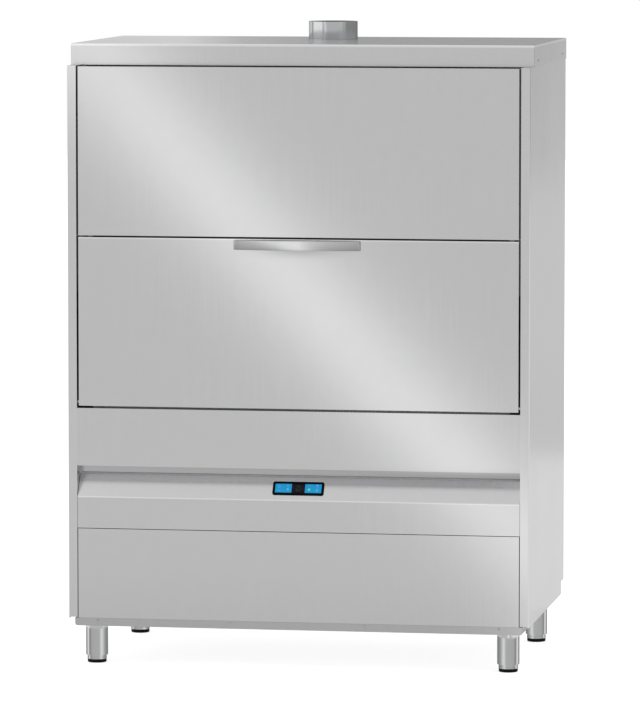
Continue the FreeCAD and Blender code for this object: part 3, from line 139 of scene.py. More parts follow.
class Finish(Nodes):
    """The material of a piece."""

    def __init__(self, name):
        self.material = bpy.data.materials.new(name)
        self.material.use_nodes = True
        super().__init__(self.material.node_tree)
        self.surface = self.tree.nodes["Principled BSDF"]

    def noise(self, place, scale, detail, stretch=(1, 1, 1)):
        stretched = self.add("Mapping", {"Vector": place, "Scale": stretch}).outputs[0]
        return self.add("TexNoise", {"Vector": stretched, "Scale": scale, "Detail": detail}).outputs[0]

    def ranged(self, value, low, high):
        return self.add("MapRange", {"Value": value, "From Min": NOISE_LOW, "From Max": NOISE_HIGH,
                                     "To Min": low, "To Max": high}).outputs[0]

    def shaded(self, amount, dark, light):
        """A colour that runs from dark to light with the amount."""
        mix = self.add("Mix", {"Factor": amount, 6: (*dark, 1), 7: (*light, 1)}, data_type="RGBA")
        return mix.outputs[2]

    def painted_light_along(self, colour, place, axis, stops):
        """Painted highlight and shade: the colour times a factor through (place, factor) stops on an axis."""
        along = self.add("SeparateXYZ", {"Vector": place}).outputs[axis]
        grey, strongest = self.ramp(along, stops)
        dimmed = self.add("VectorMath", {0: colour, 1: grey}, operation="MULTIPLY").outputs[0]
        return self.add("VectorMath", {0: dimmed, 1: (strongest,) * 3}, operation="MULTIPLY").outputs[0]

    def painted_shade_round(self, colour, place, middle, reach, depth):
        """Painted shade: colour darker by a depth round a middle (x, z), dying away over a reach (x, z)."""
        across, _, level = self.add("SeparateXYZ", {"Vector": place}).outputs
        squares = []
        for value, centre, width in zip((across, level), middle, reach):
            share = self.math("MULTIPLY", self.math("ADD", value, -centre), 1 / width)
            squares.append(self.math("MULTIPLY", share, share))
        bell = self.math("EXPONENT", self.math("MULTIPLY", self.math("ADD", *squares), -1))
        left = self.math("MULTIPLY_ADD", bell, -depth, 1)
        return self.add("VectorMath", {0: colour, "Scale": left}, operation="SCALE").outputs[0]

    def bumped(self, height, depth, strength=1.0):
        bump = self.add("Bump", {"Height": height, "Distance": depth, "Strength": strength})
        self.join(self.surface, {"Normal": bump.outputs[0]})

    def set(self, **values):
        self.join(self.surface, {key.replace("_", " "): value for key, value in values.items()})
        return self.material


# Materials.

def scaled(colour, factor):
    return tuple(channel * factor for channel in colour)


def steel(name, colour, roughness, edge_tint, grain=(260, 260, 3), depth=0.00001, painted_tones=(),
          painted_shades=()):
    """Rolled stainless steel: fine grain, faint smears, a touch of mottling."""
    finish = Finish(name)
    place = finish.object_place()
    grain_lines = finish.noise(place, 1.0, 4, grain)
    smears = finish.noise(place, 2.2, 3)
    mottling = finish.noise(place, 38, 5)
    colour_mix = finish.math("ADD", finish.ranged(grain_lines, 0, 0.6), finish.ranged(mottling, 0, 0.4))
    rough = finish.math("ADD", finish.ranged(grain_lines, roughness - 0.025, roughness + 0.025),
                        finish.ranged(smears, -0.012, 0.022))
    finish.bumped(grain_lines, depth)
    skin = finish.shaded(colour_mix, scaled(colour, 0.975), scaled(colour, 1.02))
    # Painted highlights and painted shade along axes, then painted shadows round given places.
    for axis, stops in painted_tones:
        skin = finish.painted_light_along(skin, place, axis, stops)
    for middle, reach, darkness in painted_shades:
        skin = finish.painted_shade_round(skin, place, middle, reach, darkness)
    return finish.set(Base_Color=skin, Metallic=1.0, Roughness=rough,
                      Specular_Tint=(*scaled((1, 1, 1), edge_tint), 1))


def moulded(name, colour, roughness, texture=0.00006, scale=900, shine=0.5):
    """Moulded plastic or rubber with a fine texture and slight unevenness of colour."""
    finish = Finish(name)
    place = finish.object_place()
    pores = finish.noise(place, scale, 3)
    clouds = finish.noise(place, 14, 4)
    finish.bumped(pores, texture)
    return finish.set(Base_Color=finish.shaded(clouds, scaled(colour, 0.88), scaled(colour, 1.1)),
                      Roughness=finish.ranged(clouds, roughness - 0.05, roughness + 0.06),
                      Specular_IOR_Level=shine)


def cast(name, colour, roughness):
    """Cast metal with a sandy skin."""
    finish = Finish(name)
    place = finish.object_place()
    sand = finish.noise(place, 420, 6)
    finish.bumped(sand, 0.0003, 0.6)
    return finish.set(Base_Color=finish.shaded(sand, scaled(colour, 0.85), scaled(colour, 1.1)),
                      Metallic=1.0, Roughness=finish.ranged(sand, roughness, roughness + 0.12))


def glowing(name, colour, strength, roughness):
    """A printed, backlit film."""
    finish = Finish(name)
    clouds = finish.noise(finish.object_place(), 60, 2)
    return finish.set(Base_Color=finish.shaded(clouds, scaled(colour, 0.93), scaled(colour, 1.05)),
                      Roughness=roughness, Specular_IOR_Level=0.2,
                      Emission_Color=(*colour, 1), Emission_Strength=strength)


# Painted highlights and painted shade on the steel: an axis (0 is X, 1 is Y, 2 is Z) and the factor
# on the colour at places along it.
# Painted highlight in the handle's middle, painted shade at its ends and along its lower edge.
HANDLE_PAINTED_HIGHLIGHT_ACROSS = (0, ((-0.2, 0.82), (-0.17, 0.97), (-0.06, 1.05), (0.01, 1.42), (0.09, 1.1),
                          (0.2, 0.85)))
HANDLE_PAINTED_SHADE_UP = (2, ((1.3175, 0.72), (1.325, 0.88), (1.337, 1.03), (1.3475, 1.1)))
# Painted shade on the band's inside, where it turns back into the recess.
FOLD_PAINTED_SHADE = (1, ((-0.431, 1.0), (-0.428, 1.0), (-0.425, 0.77), (-0.38, 0.77)))
# Painted highlight along the fascia's bend, and painted light on the upper part of its slope.
FASCIA_PAINTED_HIGHLIGHTS = (2, ((0.435, 1.0), (0.5305, 1.0), (0.532, 1.22), (0.5345, 1.22), (0.536, 1.0),
                    (0.575, 1.0), (0.588, 1.5), (0.604, 1.5)))
# Painted highlight along the cap's front top edge.
CAP_PAINTED_HIGHLIGHT = (2, ((1.888, 1.0), (1.946, 1.0), (1.9505, 1.3), (1.9549, 1.3), (1.955, 1.0)))
# Painted highlight along the lower door's top edge.
DOOR_PAINTED_HIGHLIGHT = (2, ((0.8205, 1.0), (1.346, 1.0), (1.349, 1.25), (1.3515, 1.25)))

# Painted shadow and painted shade: a middle (x, z), a reach (x, z) and how much darker.
# Painted shadow of the handle on the lower door.
HANDLE_PAINTED_SHADOW = ((0.0, 1.316), (0.12, 0.019), 0.28)
# Painted shade on the recess wall towards its right end.
RECESS_SHADE = ((0.6, 0.61), (0.36, 0.018), 0.38)

FINISHES = {
    "panel_steel": steel("brushed panels", (0.62, 0.62, 0.627), 0.2, 0.55),
    "frame_steel": steel("brushed frame", (0.5, 0.5, 0.506), 0.22, 0.55),
    "leg_steel": steel("polished tube", (0.6, 0.605, 0.61), 0.1, 0.8, (500, 500, 8), 0.000004),
    "collar_steel": steel("rolled collar", (0.52, 0.53, 0.535), 0.13, 0.5, (400, 400, 8), 0.000004),
    "handle_steel": steel("satin handle", (0.5, 0.5, 0.505), 0.16, 0.7, (6, 400, 400), 0.000006,
                          (HANDLE_PAINTED_HIGHLIGHT_ACROSS, HANDLE_PAINTED_SHADE_UP)),
    "liner_steel": steel("satin liners", (0.58, 0.585, 0.59), 0.28, 0.7),
    "pivot_steel": steel("turned pins", (0.5, 0.5, 0.505), 0.18, 0.8, (900, 40, 40)),
    "heater_steel": steel("heater sheath", (0.26, 0.25, 0.25), 0.35, 0.7),
    "pipe_steel": steel("welded pipe", (0.58, 0.585, 0.59), 0.2, 0.8),
    "arm_steel": steel("pressed arms", (0.6, 0.605, 0.61), 0.2, 0.8),
    "rack_steel": steel("polished wire", (0.62, 0.625, 0.63), 0.14, 0.9),
    "guide_steel": steel("folded channel", (0.5, 0.5, 0.505), 0.28, 0.8),
    "spring_steel": steel("oiled spring wire", (0.2, 0.2, 0.21), 0.3, 0.7),
    "screw_steel": steel("screw heads", (0.4, 0.4, 0.405), 0.22, 0.7),
    "pump_aluminium": cast("cast pump housing", (0.5, 0.51, 0.52), 0.42),
    "bezel_black": moulded("glossy black overlay", (0.003, 0.003, 0.004), 0.22, 0.00001, shine=0.04),
    "display_black": moulded("smoked window", (0.006, 0.006, 0.009), 0.15, 0.000004, shine=0.12),
    "key_blue": glowing("blue key film", (0.004, 0.2, 0.4), 0.85, 0.3),
    "seal_rubber": moulded("black seal", (0.02, 0.02, 0.02), 0.6, 0.0001),
    "pad_rubber": moulded("black foot rubber", (0.006, 0.006, 0.006), 0.6, 0.0002, 600, shine=0.15),
    "bush_plastic": moulded("dark bush", (0.03, 0.03, 0.032), 0.45),
    "roller_plastic": moulded("white roller", (0.7, 0.7, 0.67), 0.4),
    "boiler_jacket": moulded("foam jacket", (0.05, 0.05, 0.055), 0.85, 0.0008, 160),
    "pump_plastic": moulded("moulded pump", (0.06, 0.06, 0.07), 0.45),
    "valve_brass": cast("valve brass", (0.62, 0.42, 0.16), 0.3),
    "gland_plastic": moulded("gland nut", (0.02, 0.02, 0.022), 0.42),
    "box_plastic": moulded("grey box", (0.33, 0.34, 0.35), 0.5, 0.0002),
}

# Pieces with a finish of their own, most with painted highlights or painted shade.
# Painted light: a brighter copy of the panel steel, with a stronger edge tint, for the sides.
SIDE_STEEL_PAINTED_BRIGHTER = steel("brushed sides, painted brighter", (0.64, 0.64, 0.647), 0.2, 0.72)
NODE_FINISHES = {
    "side_panel_left": SIDE_STEEL_PAINTED_BRIGHTER,
    "side_panel_right": SIDE_STEEL_PAINTED_BRIGHTER,
    "front_band": steel("folded band", (0.62, 0.62, 0.627), 0.2, 0.55, painted_tones=(FOLD_PAINTED_SHADE,),
                        painted_shades=(RECESS_SHADE,)),
    "upper_door_seal": moulded("grey seal", (0.14, 0.14, 0.14), 0.6, 0.0001),
    "top_cap": steel("folded cap", (0.62, 0.62, 0.627), 0.2, 0.71, painted_tones=(CAP_PAINTED_HIGHLIGHT,)),
    "lower_door_skin": steel("lower door", (0.62, 0.62, 0.627), 0.2, 0.55, painted_tones=(DOOR_PAINTED_HIGHLIGHT,),
                             painted_shades=(HANDLE_PAINTED_SHADOW,)),
    "control_fascia": steel("folded fascia", (0.62, 0.62, 0.627), 0.2, 0.55, (260, 3, 3),
                            painted_tones=(FASCIA_PAINTED_HIGHLIGHTS,)),
}

# Painted shade: a near-black steel for the sleeve inside the collar.
COLLAR_PAINTED_SHADE = steel("painted shade inside the collar", (0.1, 0.1, 0.102), 0.5, 0.5)
PRINT_PALE = glowing("pale print", (0.13, 0.33, 0.6), 0.6, 0.4)
PRINT_GREEN = glowing("green lamp", (0.13, 0.5, 0.22), 0.6, 0.4)
PRINT_DIGITS = glowing("display digits", (0.05, 0.055, 0.065), 0.3, 0.4)
# Painted shade: a matt grey bead that darkens the line of the recess's crease.
CREASE_SHADE_BEAD = moulded("pale bead for the crease shade", (0.5, 0.5, 0.505), 0.6, 0.0001)


def dress_cad_nodes():
    for part in frame["record"]["subparts"]:
        for held in CAD[part["node"]].material_slots:
            held.material = NODE_FINISHES.get(part["node"], FINISHES[part["material_slot"]])


dress_cad_nodes()


# Making pieces.

def as_piece(name, mesh, slot, body, stands_for=(), material=None, smooth=True):
    """Put a finished mesh into the model."""
    thing = bpy.data.objects.new(name, mesh)
    bpy.context.scene.collection.objects.link(thing)
    mesh.materials.clear()
    mesh.materials.append(material or FINISHES[slot])
    for face in mesh.polygons:
        face.use_smooth = smooth
    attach(thing, body)
    if stands_for:
        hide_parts(*stands_for)


def mesh_of(name, points, faces):
    mesh = bpy.data.meshes.new(name)
    mesh.from_pydata(points, [], faces)
    mesh.update()
    return mesh


def joined(name, meshes):
    """One mesh out of several."""
    whole = bmesh.new()
    for mesh in meshes:
        whole.from_mesh(mesh)
    result = bpy.data.meshes.new(name)
    whole.to_mesh(result)
    whole.free()
    return result


MERGE_DISTANCE = 1e-7
SHARP_ANGLE = math.radians(35)


def outward(mesh):
    """Merge a closed mesh's doubles and turn its faces to the outside."""
    work = bmesh.new()
    work.from_mesh(mesh)
    bmesh.ops.remove_doubles(work, verts=work.verts, dist=MERGE_DISTANCE)
    bmesh.ops.recalc_face_normals(work, faces=work.faces)
    work.to_mesh(mesh)
    work.free()
    return mesh


def with_sharp_edges(mesh):
    """Keep flat faces flat where they meet at more than the sharp angle."""
    work = bmesh.new()
    work.from_mesh(mesh)
    for edge in work.edges:
        if len(edge.link_faces) == 2:
            edge.smooth = edge.calc_face_angle(0) < SHARP_ANGLE
    work.to_mesh(mesh)
    work.free()
    return mesh


ARC_STEPS = 6

# A rounding takes up at most one part in EDGE_PARTS of an edge.
EDGE_PARTS = 2.01


def eased(corners, radius):
    """The corners of a closed line, each rounded by a small curve."""
    rounded = []
    count = len(corners)
    for index, corner in enumerate(corners):
        here = Vector(corner)
        back = Vector(corners[index - 1]) - here
        ahead = Vector(corners[(index + 1) % count]) - here
        reach = min(radius, back.length / EDGE_PARTS, ahead.length / EDGE_PARTS)
        start, end = here + back.normalized() * reach, here + ahead.normalized() * reach
        for step in range(ARC_STEPS + 1):
            share = step / ARC_STEPS
            rounded.append(tuple((start * (1 - share) + here * share) * (1 - share)
                                 + (here * (1 - share) + end * share) * share))
    return rounded


def lathe(name, profile, centre, sides=72):
    """A closed line of corners (radius, height) turned about the upright through the centre."""
    points, faces = [], []
    count = len(profile)
    for side in range(sides):
        angle = 2 * math.pi * side / sides
        for radius, height in profile:
            local = Vector((radius * math.cos(angle), radius * math.sin(angle), height))
            points.append(tuple(Vector(centre) + local))
    for side in range(sides):
        following = (side + 1) % sides
        for index in range(count):
            ahead = (index + 1) % count
            faces.append((side * count + index, following * count + index,
                          following * count + ahead, side * count + ahead))
    return with_sharp_edges(outward(mesh_of(name, points, faces)))


def prism(name, near, far):
    """A closed solid between two outlines of as many points."""
    count = len(near)
    faces = [tuple(range(count)), tuple(reversed(range(count, 2 * count)))]
    faces += [(index, (index + 1) % count, count + (index + 1) % count, count + index)
              for index in range(count)]
    return outward(mesh_of(name, near + far, faces))


def middle_of(node):
    low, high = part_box(node)
    return (low + high) / 2


def radius_of(node):
    low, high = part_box(node)
    return (high.x - low.x) / 2


# Legs, feet and pads.

AXIS_HOLE = 0.0004
RIM = 0.0012
LEG_OVER_FOOT = 0.0045
LEG_WALL = 0.0022
GROOVE, GROOVE_RISE = 0.0006, 0.006
PAD_RIBS, PAD_RIB = 4, 0.0007
PAD_SOLE, PAD_PLAIN = 0.002, 0.003


def make_legs():
    low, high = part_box("leg_tubes")
    outer = radius_of("foot_front_left") + LEG_OVER_FOOT
    inner = outer - LEG_WALL
    tubes = []
    for corner in CORNERS:
        centre = middle_of("foot_" + corner)
        place = (centre.x, centre.y, 0)
        profile = eased([(inner, low.z), (outer, low.z), (outer, high.z), (inner, high.z)], RIM)
        tubes.append(lathe("leg_" + corner, profile, place))
        make_foot(corner, place)
        make_pad(corner, place)
    as_piece("polished_legs", joined("polished_legs", tubes), "leg_steel", "root", ["leg_tubes"])


def make_foot(corner, place):
    node = "foot_" + corner
    low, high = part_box(node)
    radius = radius_of(node)
    groove_low = low.z + GROOVE_RISE
    corners = [(AXIS_HOLE, low.z), (radius, low.z), (radius, groove_low),
               (radius - GROOVE, groove_low + GROOVE), (radius - GROOVE, groove_low + 2 * GROOVE),
               (radius, groove_low + 3 * GROOVE), (radius, high.z), (AXIS_HOLE, high.z)]
    foot = lathe("screw_foot", eased(corners, RIM / 2), place)
    as_piece(f"screw_foot_{corner}", foot, "leg_steel", "foot_body_" + corner, [node])


def make_pad(corner, place):
    node = "foot_pad_" + corner
    low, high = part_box(node)
    radius = radius_of(node)
    edge = [(AXIS_HOLE, low.z), (radius - PAD_SOLE, low.z)]
    for index in range(PAD_RIBS):
        level = low.z + PAD_SOLE + (high.z - low.z - PAD_PLAIN) * index / PAD_RIBS
        edge += [(radius, level), (radius, level + 2 * PAD_RIB), (radius - PAD_RIB, level + 2 * PAD_RIB)]
    edge += [(radius, high.z), (AXIS_HOLE, high.z)]
    pad = lathe("ribbed_pad", eased(edge, PAD_RIB / 2), place)
    as_piece(f"ribbed_pad_{corner}", pad, "pad_rubber", "foot_body_" + corner, [node])


# Exhaust collar, with a thin dark sleeve inside as painted shade in its bore.

COLLAR_WALL = 0.0015
COLLAR_RIM = 0.0006
COLLAR_SIDES = 96
SLEEVE_WALL, SLEEVE_GAP = 0.0003, 0.00005


def make_collar():
    low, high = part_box("exhaust_collar")
    centre = middle_of("exhaust_collar")
    place = (centre.x, centre.y, 0)
    radius = radius_of("exhaust_collar")
    bore = radius - COLLAR_WALL
    corners = [(bore, low.z), (radius, low.z), (radius, high.z), (bore, high.z)]
    shell = lathe("exhaust_ring", eased(corners, COLLAR_RIM), place, COLLAR_SIDES)
    as_piece("exhaust_ring", shell, "collar_steel", "root", ["exhaust_collar"])
    outer, top = bore - SLEEVE_GAP, high.z - COLLAR_RIM
    inner = outer - SLEEVE_WALL
    corners = [(inner, low.z), (outer, low.z), (outer, top), (inner, top)]
    sleeve = lathe("exhaust_ring_inside", corners, place, COLLAR_SIDES)
    as_piece("exhaust_ring_inside", sleeve, "collar_steel", "root", (), COLLAR_PAINTED_SHADE)


# Handle: a flat strip bowed forward, with both ends turned back to the door.

HANDLE_STANDOFF = 0.010
HANDLE_WALL = 0.0025
HANDLE_END = 0.007
HANDLE_EDGE = 0.0011
HANDLE_STEPS = 64


def handle_path():
    """Points of the strip's middle from the left foot to the right foot, in plan."""
    low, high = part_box("handle")
    half = (high.x - low.x) / 2 - HANDLE_WALL / 2
    standoff = HANDLE_STANDOFF - HANDLE_WALL / 2
    bow = (high.y - low.y) - HANDLE_STANDOFF
    radius = (half * half + bow * bow) / (2 * bow)
    spread = math.asin(half / radius)
    arc = []
    for step in range(HANDLE_STEPS + 1):
        angle = -spread + 2 * spread * step / HANDLE_STEPS
        arc.append((radius * math.sin(angle), high.y - standoff - bow + radius * (1 - math.cos(angle))))
    trimmed = [point for point in arc if abs(point[0]) < half - HANDLE_END]
    left = turned_end(-half, high.y, arc[0][1])
    right = [(-x, y) for x, y in reversed(left)]
    return left + trimmed + right


def turned_end(x, door, level):
    """From the door out to the bow, round the end's bend."""
    points = [(x, door)]
    bend = Vector((x + HANDLE_END, level + HANDLE_END))
    for step in range(ARC_STEPS * 2 + 1):
        angle = math.pi + (math.pi / 2) * step / (ARC_STEPS * 2)
        points.append((bend.x + HANDLE_END * math.cos(angle), bend.y + HANDLE_END * math.sin(angle)))
    return points


def make_handle():
    low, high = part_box("handle")
    path = [Vector(point) for point in handle_path()]
    half_wall = HANDLE_WALL / 2
    section = eased([(-half_wall, low.z), (half_wall, low.z), (half_wall, high.z), (-half_wall, high.z)],
                    HANDLE_EDGE)
    points, faces = [], []
    for index, point in enumerate(path):
        ahead = path[min(index + 1, len(path) - 1)] - path[max(index - 1, 0)]
        across = Vector((ahead.y, -ahead.x)).normalized()
        for offset, level in section:
            points.append((point.x + across.x * offset, point.y + across.y * offset, level))
    count = len(section)
    for index in range(len(path) - 1):
        for corner in range(count):
            ahead = (corner + 1) % count
            faces.append((index * count + corner, index * count + ahead,
                          (index + 1) * count + ahead, (index + 1) * count + corner))
    faces.append(tuple(range(count)))
    faces.append(tuple(reversed(range((len(path) - 1) * count, len(path) * count))))
    strip = with_sharp_edges(outward(mesh_of("bowed_handle", points, faces)))
    as_piece("bowed_handle", strip, "handle_steel", "lower_door", ["handle"])


# Control recess: a thin bead where the sloping face meets the recess wall, as painted shade in that crease.

BEAD_INSET = 0.004
BEAD_RADIUS = 0.0045


def make_recess_bead():
    low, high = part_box("control_fascia")
    section = [(high.y, high.z)]
    for step in range(ARC_STEPS + 1):
        angle = math.pi / 2 * step / ARC_STEPS
        section.append((high.y - BEAD_RADIUS * math.cos(angle), high.z + BEAD_RADIUS * math.sin(angle)))
    left = [(low.x + BEAD_INSET, y, z) for y, z in section]
    right = [(high.x - BEAD_INSET, y, z) for y, z in section]
    bead = with_sharp_edges(prism("recess_bead", left, right))
    as_piece("recess_bead", bead, "seal_rubber", "root", (), CREASE_SHADE_BEAD)


make_legs()
make_collar()
make_handle()
make_recess_bead()


# Repeated pieces: one pattern piece set out on many places by a node tree.

def scatter_tree():
    """Sets the pattern piece on every point, its own +Z turned along the point's 'out'."""
    tree = bpy.data.node_groups.new("set out on places", "GeometryNodeTree")
    sockets = tree.interface
    for name, kind in (("Places", "Geometry"), ("Pattern piece", "Object"), ("Size", "Float"),
                       ("Finish", "Material")):
        sockets.new_socket(name, in_out="INPUT", socket_type="NodeSocket" + kind)
    sockets.new_socket("Result", in_out="OUTPUT", socket_type="NodeSocketGeometry")
    nodes, links = tree.nodes, tree.links
    given = nodes.new("NodeGroupInput")
    points = nodes.new("GeometryNodeMeshToPoints")
    out = nodes.new("GeometryNodeInputNamedAttribute")
    out.data_type = "FLOAT_VECTOR"
    out.inputs["Name"].default_value = "out"
    facing = nodes.new("FunctionNodeAlignRotationToVector")
    facing.axis = "Z"
    pattern = nodes.new("GeometryNodeObjectInfo")
    instances = nodes.new("GeometryNodeInstanceOnPoints")
    realized = nodes.new("GeometryNodeRealizeInstances")
    finished = nodes.new("GeometryNodeSetMaterial")
    result = nodes.new("NodeGroupOutput")
    links.new(given.outputs["Places"], points.inputs["Mesh"])
    links.new(points.outputs[0], instances.inputs["Points"])
    links.new(out.outputs["Attribute"], facing.inputs["Vector"])
    links.new(facing.outputs[0], instances.inputs["Rotation"])
    links.new(given.outputs["Pattern piece"], pattern.inputs["Object"])
    links.new(pattern.outputs["Geometry"], instances.inputs["Instance"])
    links.new(given.outputs["Size"], instances.inputs["Scale"])
    links.new(instances.outputs[0], realized.inputs[0])
    links.new(realized.outputs[0], finished.inputs["Geometry"])
    links.new(given.outputs["Finish"], finished.inputs["Material"])
    links.new(finished.outputs[0], result.inputs["Result"])
    return tree


SCATTER = scatter_tree()


def set_out(name, places, pattern_mesh, size, slot, body, stands_for=()):
    """Places are (point, out) pairs; the pattern piece is scaled by the size."""
    pattern = bpy.data.objects.new("pattern", pattern_mesh)
    seeds = bpy.data.meshes.new("places")
    seeds.from_pydata([point for point, _ in places], [], [])
    facing = seeds.attributes.new("out", "FLOAT_VECTOR", "POINT")
    for index, (_, out) in enumerate(places):
        facing.data[index].vector = out
    holder = bpy.data.objects.new("holder", seeds)
    bpy.context.scene.collection.objects.link(holder)
    bpy.context.scene.collection.objects.link(pattern)
    modifier = holder.modifiers.new("set out", "NODES")
    modifier.node_group = SCATTER
    values = {"Pattern piece": pattern, "Size": size, "Finish": FINISHES[slot]}
    for socket in SCATTER.interface.items_tree:
        if socket.in_out == "INPUT" and socket.name in values:
            modifier[socket.identifier] = values[socket.name]
    bpy.context.view_layer.update()
    graph = bpy.context.evaluated_depsgraph_get()
    mesh = bpy.data.meshes.new_from_object(holder.evaluated_get(graph))
    bpy.data.objects.remove(holder)
    bpy.data.objects.remove(pattern)
    as_piece(name, mesh, slot, body, stands_for)


def screw_head():
    """A domed head of radius 1, standing on its own origin, with a crossed recess."""
    dome_steps, sides, height, tip = 5, 16, 0.42, 0.05
    cross_half, cross_depth, cross_start, cross_end = 0.2, 0.2, 0.1, 0.62
    points, faces = [], []
    for ring in range(dome_steps + 1):
        angle = (math.pi / 2) * ring / dome_steps
        radius = max(math.cos(angle), tip)
        for side in range(sides):
            turn = 2 * math.pi * side / sides
            in_line = min(abs(math.cos(turn)), abs(math.sin(turn))) < cross_half
            sunk = cross_depth if in_line and cross_start < radius < cross_end else 0
            level = height * math.sin(angle) - sunk
            points.append((radius * math.cos(turn), radius * math.sin(turn), level))
    for ring in range(dome_steps):
        for side in range(sides):
            ahead = (side + 1) % sides
            faces.append((ring * sides + side, ring * sides + ahead,
                          (ring + 1) * sides + ahead, (ring + 1) * sides + side))
    faces.append(tuple(reversed(range(sides))))
    faces.append(tuple(range(dome_steps * sides, (dome_steps + 1) * sides)))
    return outward(mesh_of("screw_head", points, faces))


FORWARD, BACKWARD = Vector((0, -1, 0)), Vector((0, 1, 0))
LEFTWARD, RIGHTWARD = Vector((-1, 0, 0)), Vector((1, 0, 0))
SCREW_RADIUS = 0.004
SEAT_GAP = 0.0003
RAIL_SCREW_INSET = 0.073
RAIL_SCREW_DROP = 0.007
CAP_SCREW_RISE = 0.018
CAP_SCREW_INSET = 0.098
REAR_SCREW_INSET = 0.018
REAR_SCREW_FROM_SIDE = 2.2 * REAR_SCREW_INSET
REAR_SCREW_ROWS = 7


def front_and_cap_screws():
    rail_low, rail_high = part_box("base_frame")
    cap_low, cap_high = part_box("top_cap")
    frame_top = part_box("lower_front_panel")[0].z - SEAT_GAP
    outer = rail_high.x - RAIL_SCREW_INSET
    places = [(Vector((x, rail_low.y, frame_top - RAIL_SCREW_DROP)), FORWARD)
              for x in (-outer, -outer / 3, outer / 3, outer)]
    level = cap_low.z + CAP_SCREW_RISE
    for x, out in ((cap_low.x, LEFTWARD), (cap_high.x, RIGHTWARD)):
        places += [(Vector((x, y, level)), out)
                   for y in (cap_low.y + CAP_SCREW_INSET, cap_high.y - CAP_SCREW_INSET)]
    set_out("front_and_cap_screws", places, screw_head(), SCREW_RADIUS, "screw_steel", "root",
            ["panel_screws"])


def rear_screws():
    low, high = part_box("rear_panel")
    tall = high.z - low.z - 2 * REAR_SCREW_INSET
    places = []
    for index in range(REAR_SCREW_ROWS):
        z = low.z + REAR_SCREW_INSET + tall * index / (REAR_SCREW_ROWS - 1)
        places += [(Vector((x, high.y, z)), BACKWARD)
                   for x in (low.x + REAR_SCREW_FROM_SIDE, 0, high.x - REAR_SCREW_FROM_SIDE)]
    set_out("rear_panel_screws", places, screw_head(), SCREW_RADIUS, "screw_steel", "root")


LOUVRE_WIDTH = 0.13
LOUVRE_COLUMNS, LOUVRE_ROWS = 4, 7
LOUVRE_RISE, LOUVRE_PITCH = 0.12, 0.026


def louvre():
    """A pressed louvre, one unit wide along X, open at its lower edge, standing out along +Z."""
    steps, half, tall, proud, squareness = 8, 0.5, 0.1, 0.03, 0.35
    points, faces = [], []
    for step in range(steps + 1):
        angle = math.pi * step / steps
        across = -half * math.cos(angle)
        swell = math.sin(angle) ** squareness if 0 < step < steps else 0.0
        points += [(across, tall / 2, 0), (across, -tall / 2, proud * swell), (across, -tall / 2, 0)]
    for step in range(steps):
        here, ahead = 3 * step, 3 * (step + 1)
        faces += [(here, ahead, ahead + 1, here + 1), (here + 1, ahead + 1, ahead + 2, here + 2),
                  (here + 2, ahead + 2, ahead, here)]
    return outward(mesh_of("louvre", points, faces))


def rear_louvres():
    low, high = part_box("rear_panel")
    places = []
    for column in range(LOUVRE_COLUMNS):
        x = low.x + (high.x - low.x) * (column + 1) / (LOUVRE_COLUMNS + 1)
        for row in range(LOUVRE_ROWS):
            z = low.z + LOUVRE_RISE + LOUVRE_PITCH * row
            places.append((Vector((x, high.y, z)), BACKWARD))
    turned = louvre()
    turned.transform(Matrix.Rotation(math.pi, 4, "Z"))
    set_out("rear_louvres", places, turned, LOUVRE_WIDTH, "panel_steel", "root")


NOZZLE_COUNT, NOZZLE_RADIUS, NOZZLE_INSET = 7, 0.0042, 0.03
NOZZLE_SEAT = 0.0036
HUB_REACH = 0.03


def arm_nozzles():
    """Small fan nozzles along every rinse tube, facing the rack."""
    hole, ease = 0.12, 0.12
    corners = [(hole, 0), (1, 0), (1, 0.7), (0.6, 1.3), (hole, 1.3)]
    head = lathe("nozzle", eased(corners, ease), (0, 0, 0), 12)
    for level, up in (("lower", 1), ("upper", -1)):
        for hand in ("left", "right"):
            node = f"rinse_arm_{level}_{hand}"
            low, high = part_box(node)
            middle = middle_of(node)
            face = middle.z + up * NOZZLE_SEAT
            length = high.y - low.y - 2 * NOZZLE_INSET
            places = []
            for index in range(NOZZLE_COUNT):
                y = low.y + NOZZLE_INSET + length * index / (NOZZLE_COUNT - 1)
                if abs(y - middle.y) > HUB_REACH:
                    places.append((Vector((middle.x, y, face)), Vector((0, 0, up))))
            set_out(f"rinse_nozzles_{level}_{hand}", places, head.copy(), NOZZLE_RADIUS, "arm_steel",
                    "body_" + node)


front_and_cap_screws()
rear_screws()
rear_louvres()
arm_nozzles()


# Control panel: prints on the keys and figures in the window.

def panel_axes():
    """Out of the panel's face, and up along it."""
    press = next(joint for joint in frame["joints"] if joint["name"] == "key_start_press")
    out = -Vector(press["axis"]).normalized()
    return out, Vector((0, out.z, -out.y))


OUT, UP = panel_axes()
FACE_DEPTH = 0.0001
PRINT_THICKNESS = 0.00012
PRINT_LINE = 0.0008


def face_middle(node):
    """The middle of a node's face towards the panel's outside."""
    corners = [vertex.co for vertex in CAD[node].data.vertices]
    reach = max(corner.dot(OUT) for corner in corners)
    outer = [corner for corner in corners if corner.dot(OUT) > reach - FACE_DEPTH]
    lowest = Vector(min(corner[axis] for corner in outer) for axis in range(3))
    highest = Vector(max(corner[axis] for corner in outer) for axis in range(3))
    return (lowest + highest) / 2


def shift(centre, across, up):
    return centre + Vector((across, 0, 0)) + UP * up


def flat_shape(centre, outline):
    """A thin print with the outline given as (across, up) about a centre on the panel."""
    low = [tuple(shift(centre, across, up)) for across, up in outline]
    high = [tuple(Vector(point) + OUT * PRINT_THICKNESS) for point in low]
    return prism("print", low, high)


def disc(centre, radius, sides=28):
    turns = [2 * math.pi * step / sides for step in range(sides)]
    return flat_shape(centre, [(radius * math.cos(turn), radius * math.sin(turn)) for turn in turns])


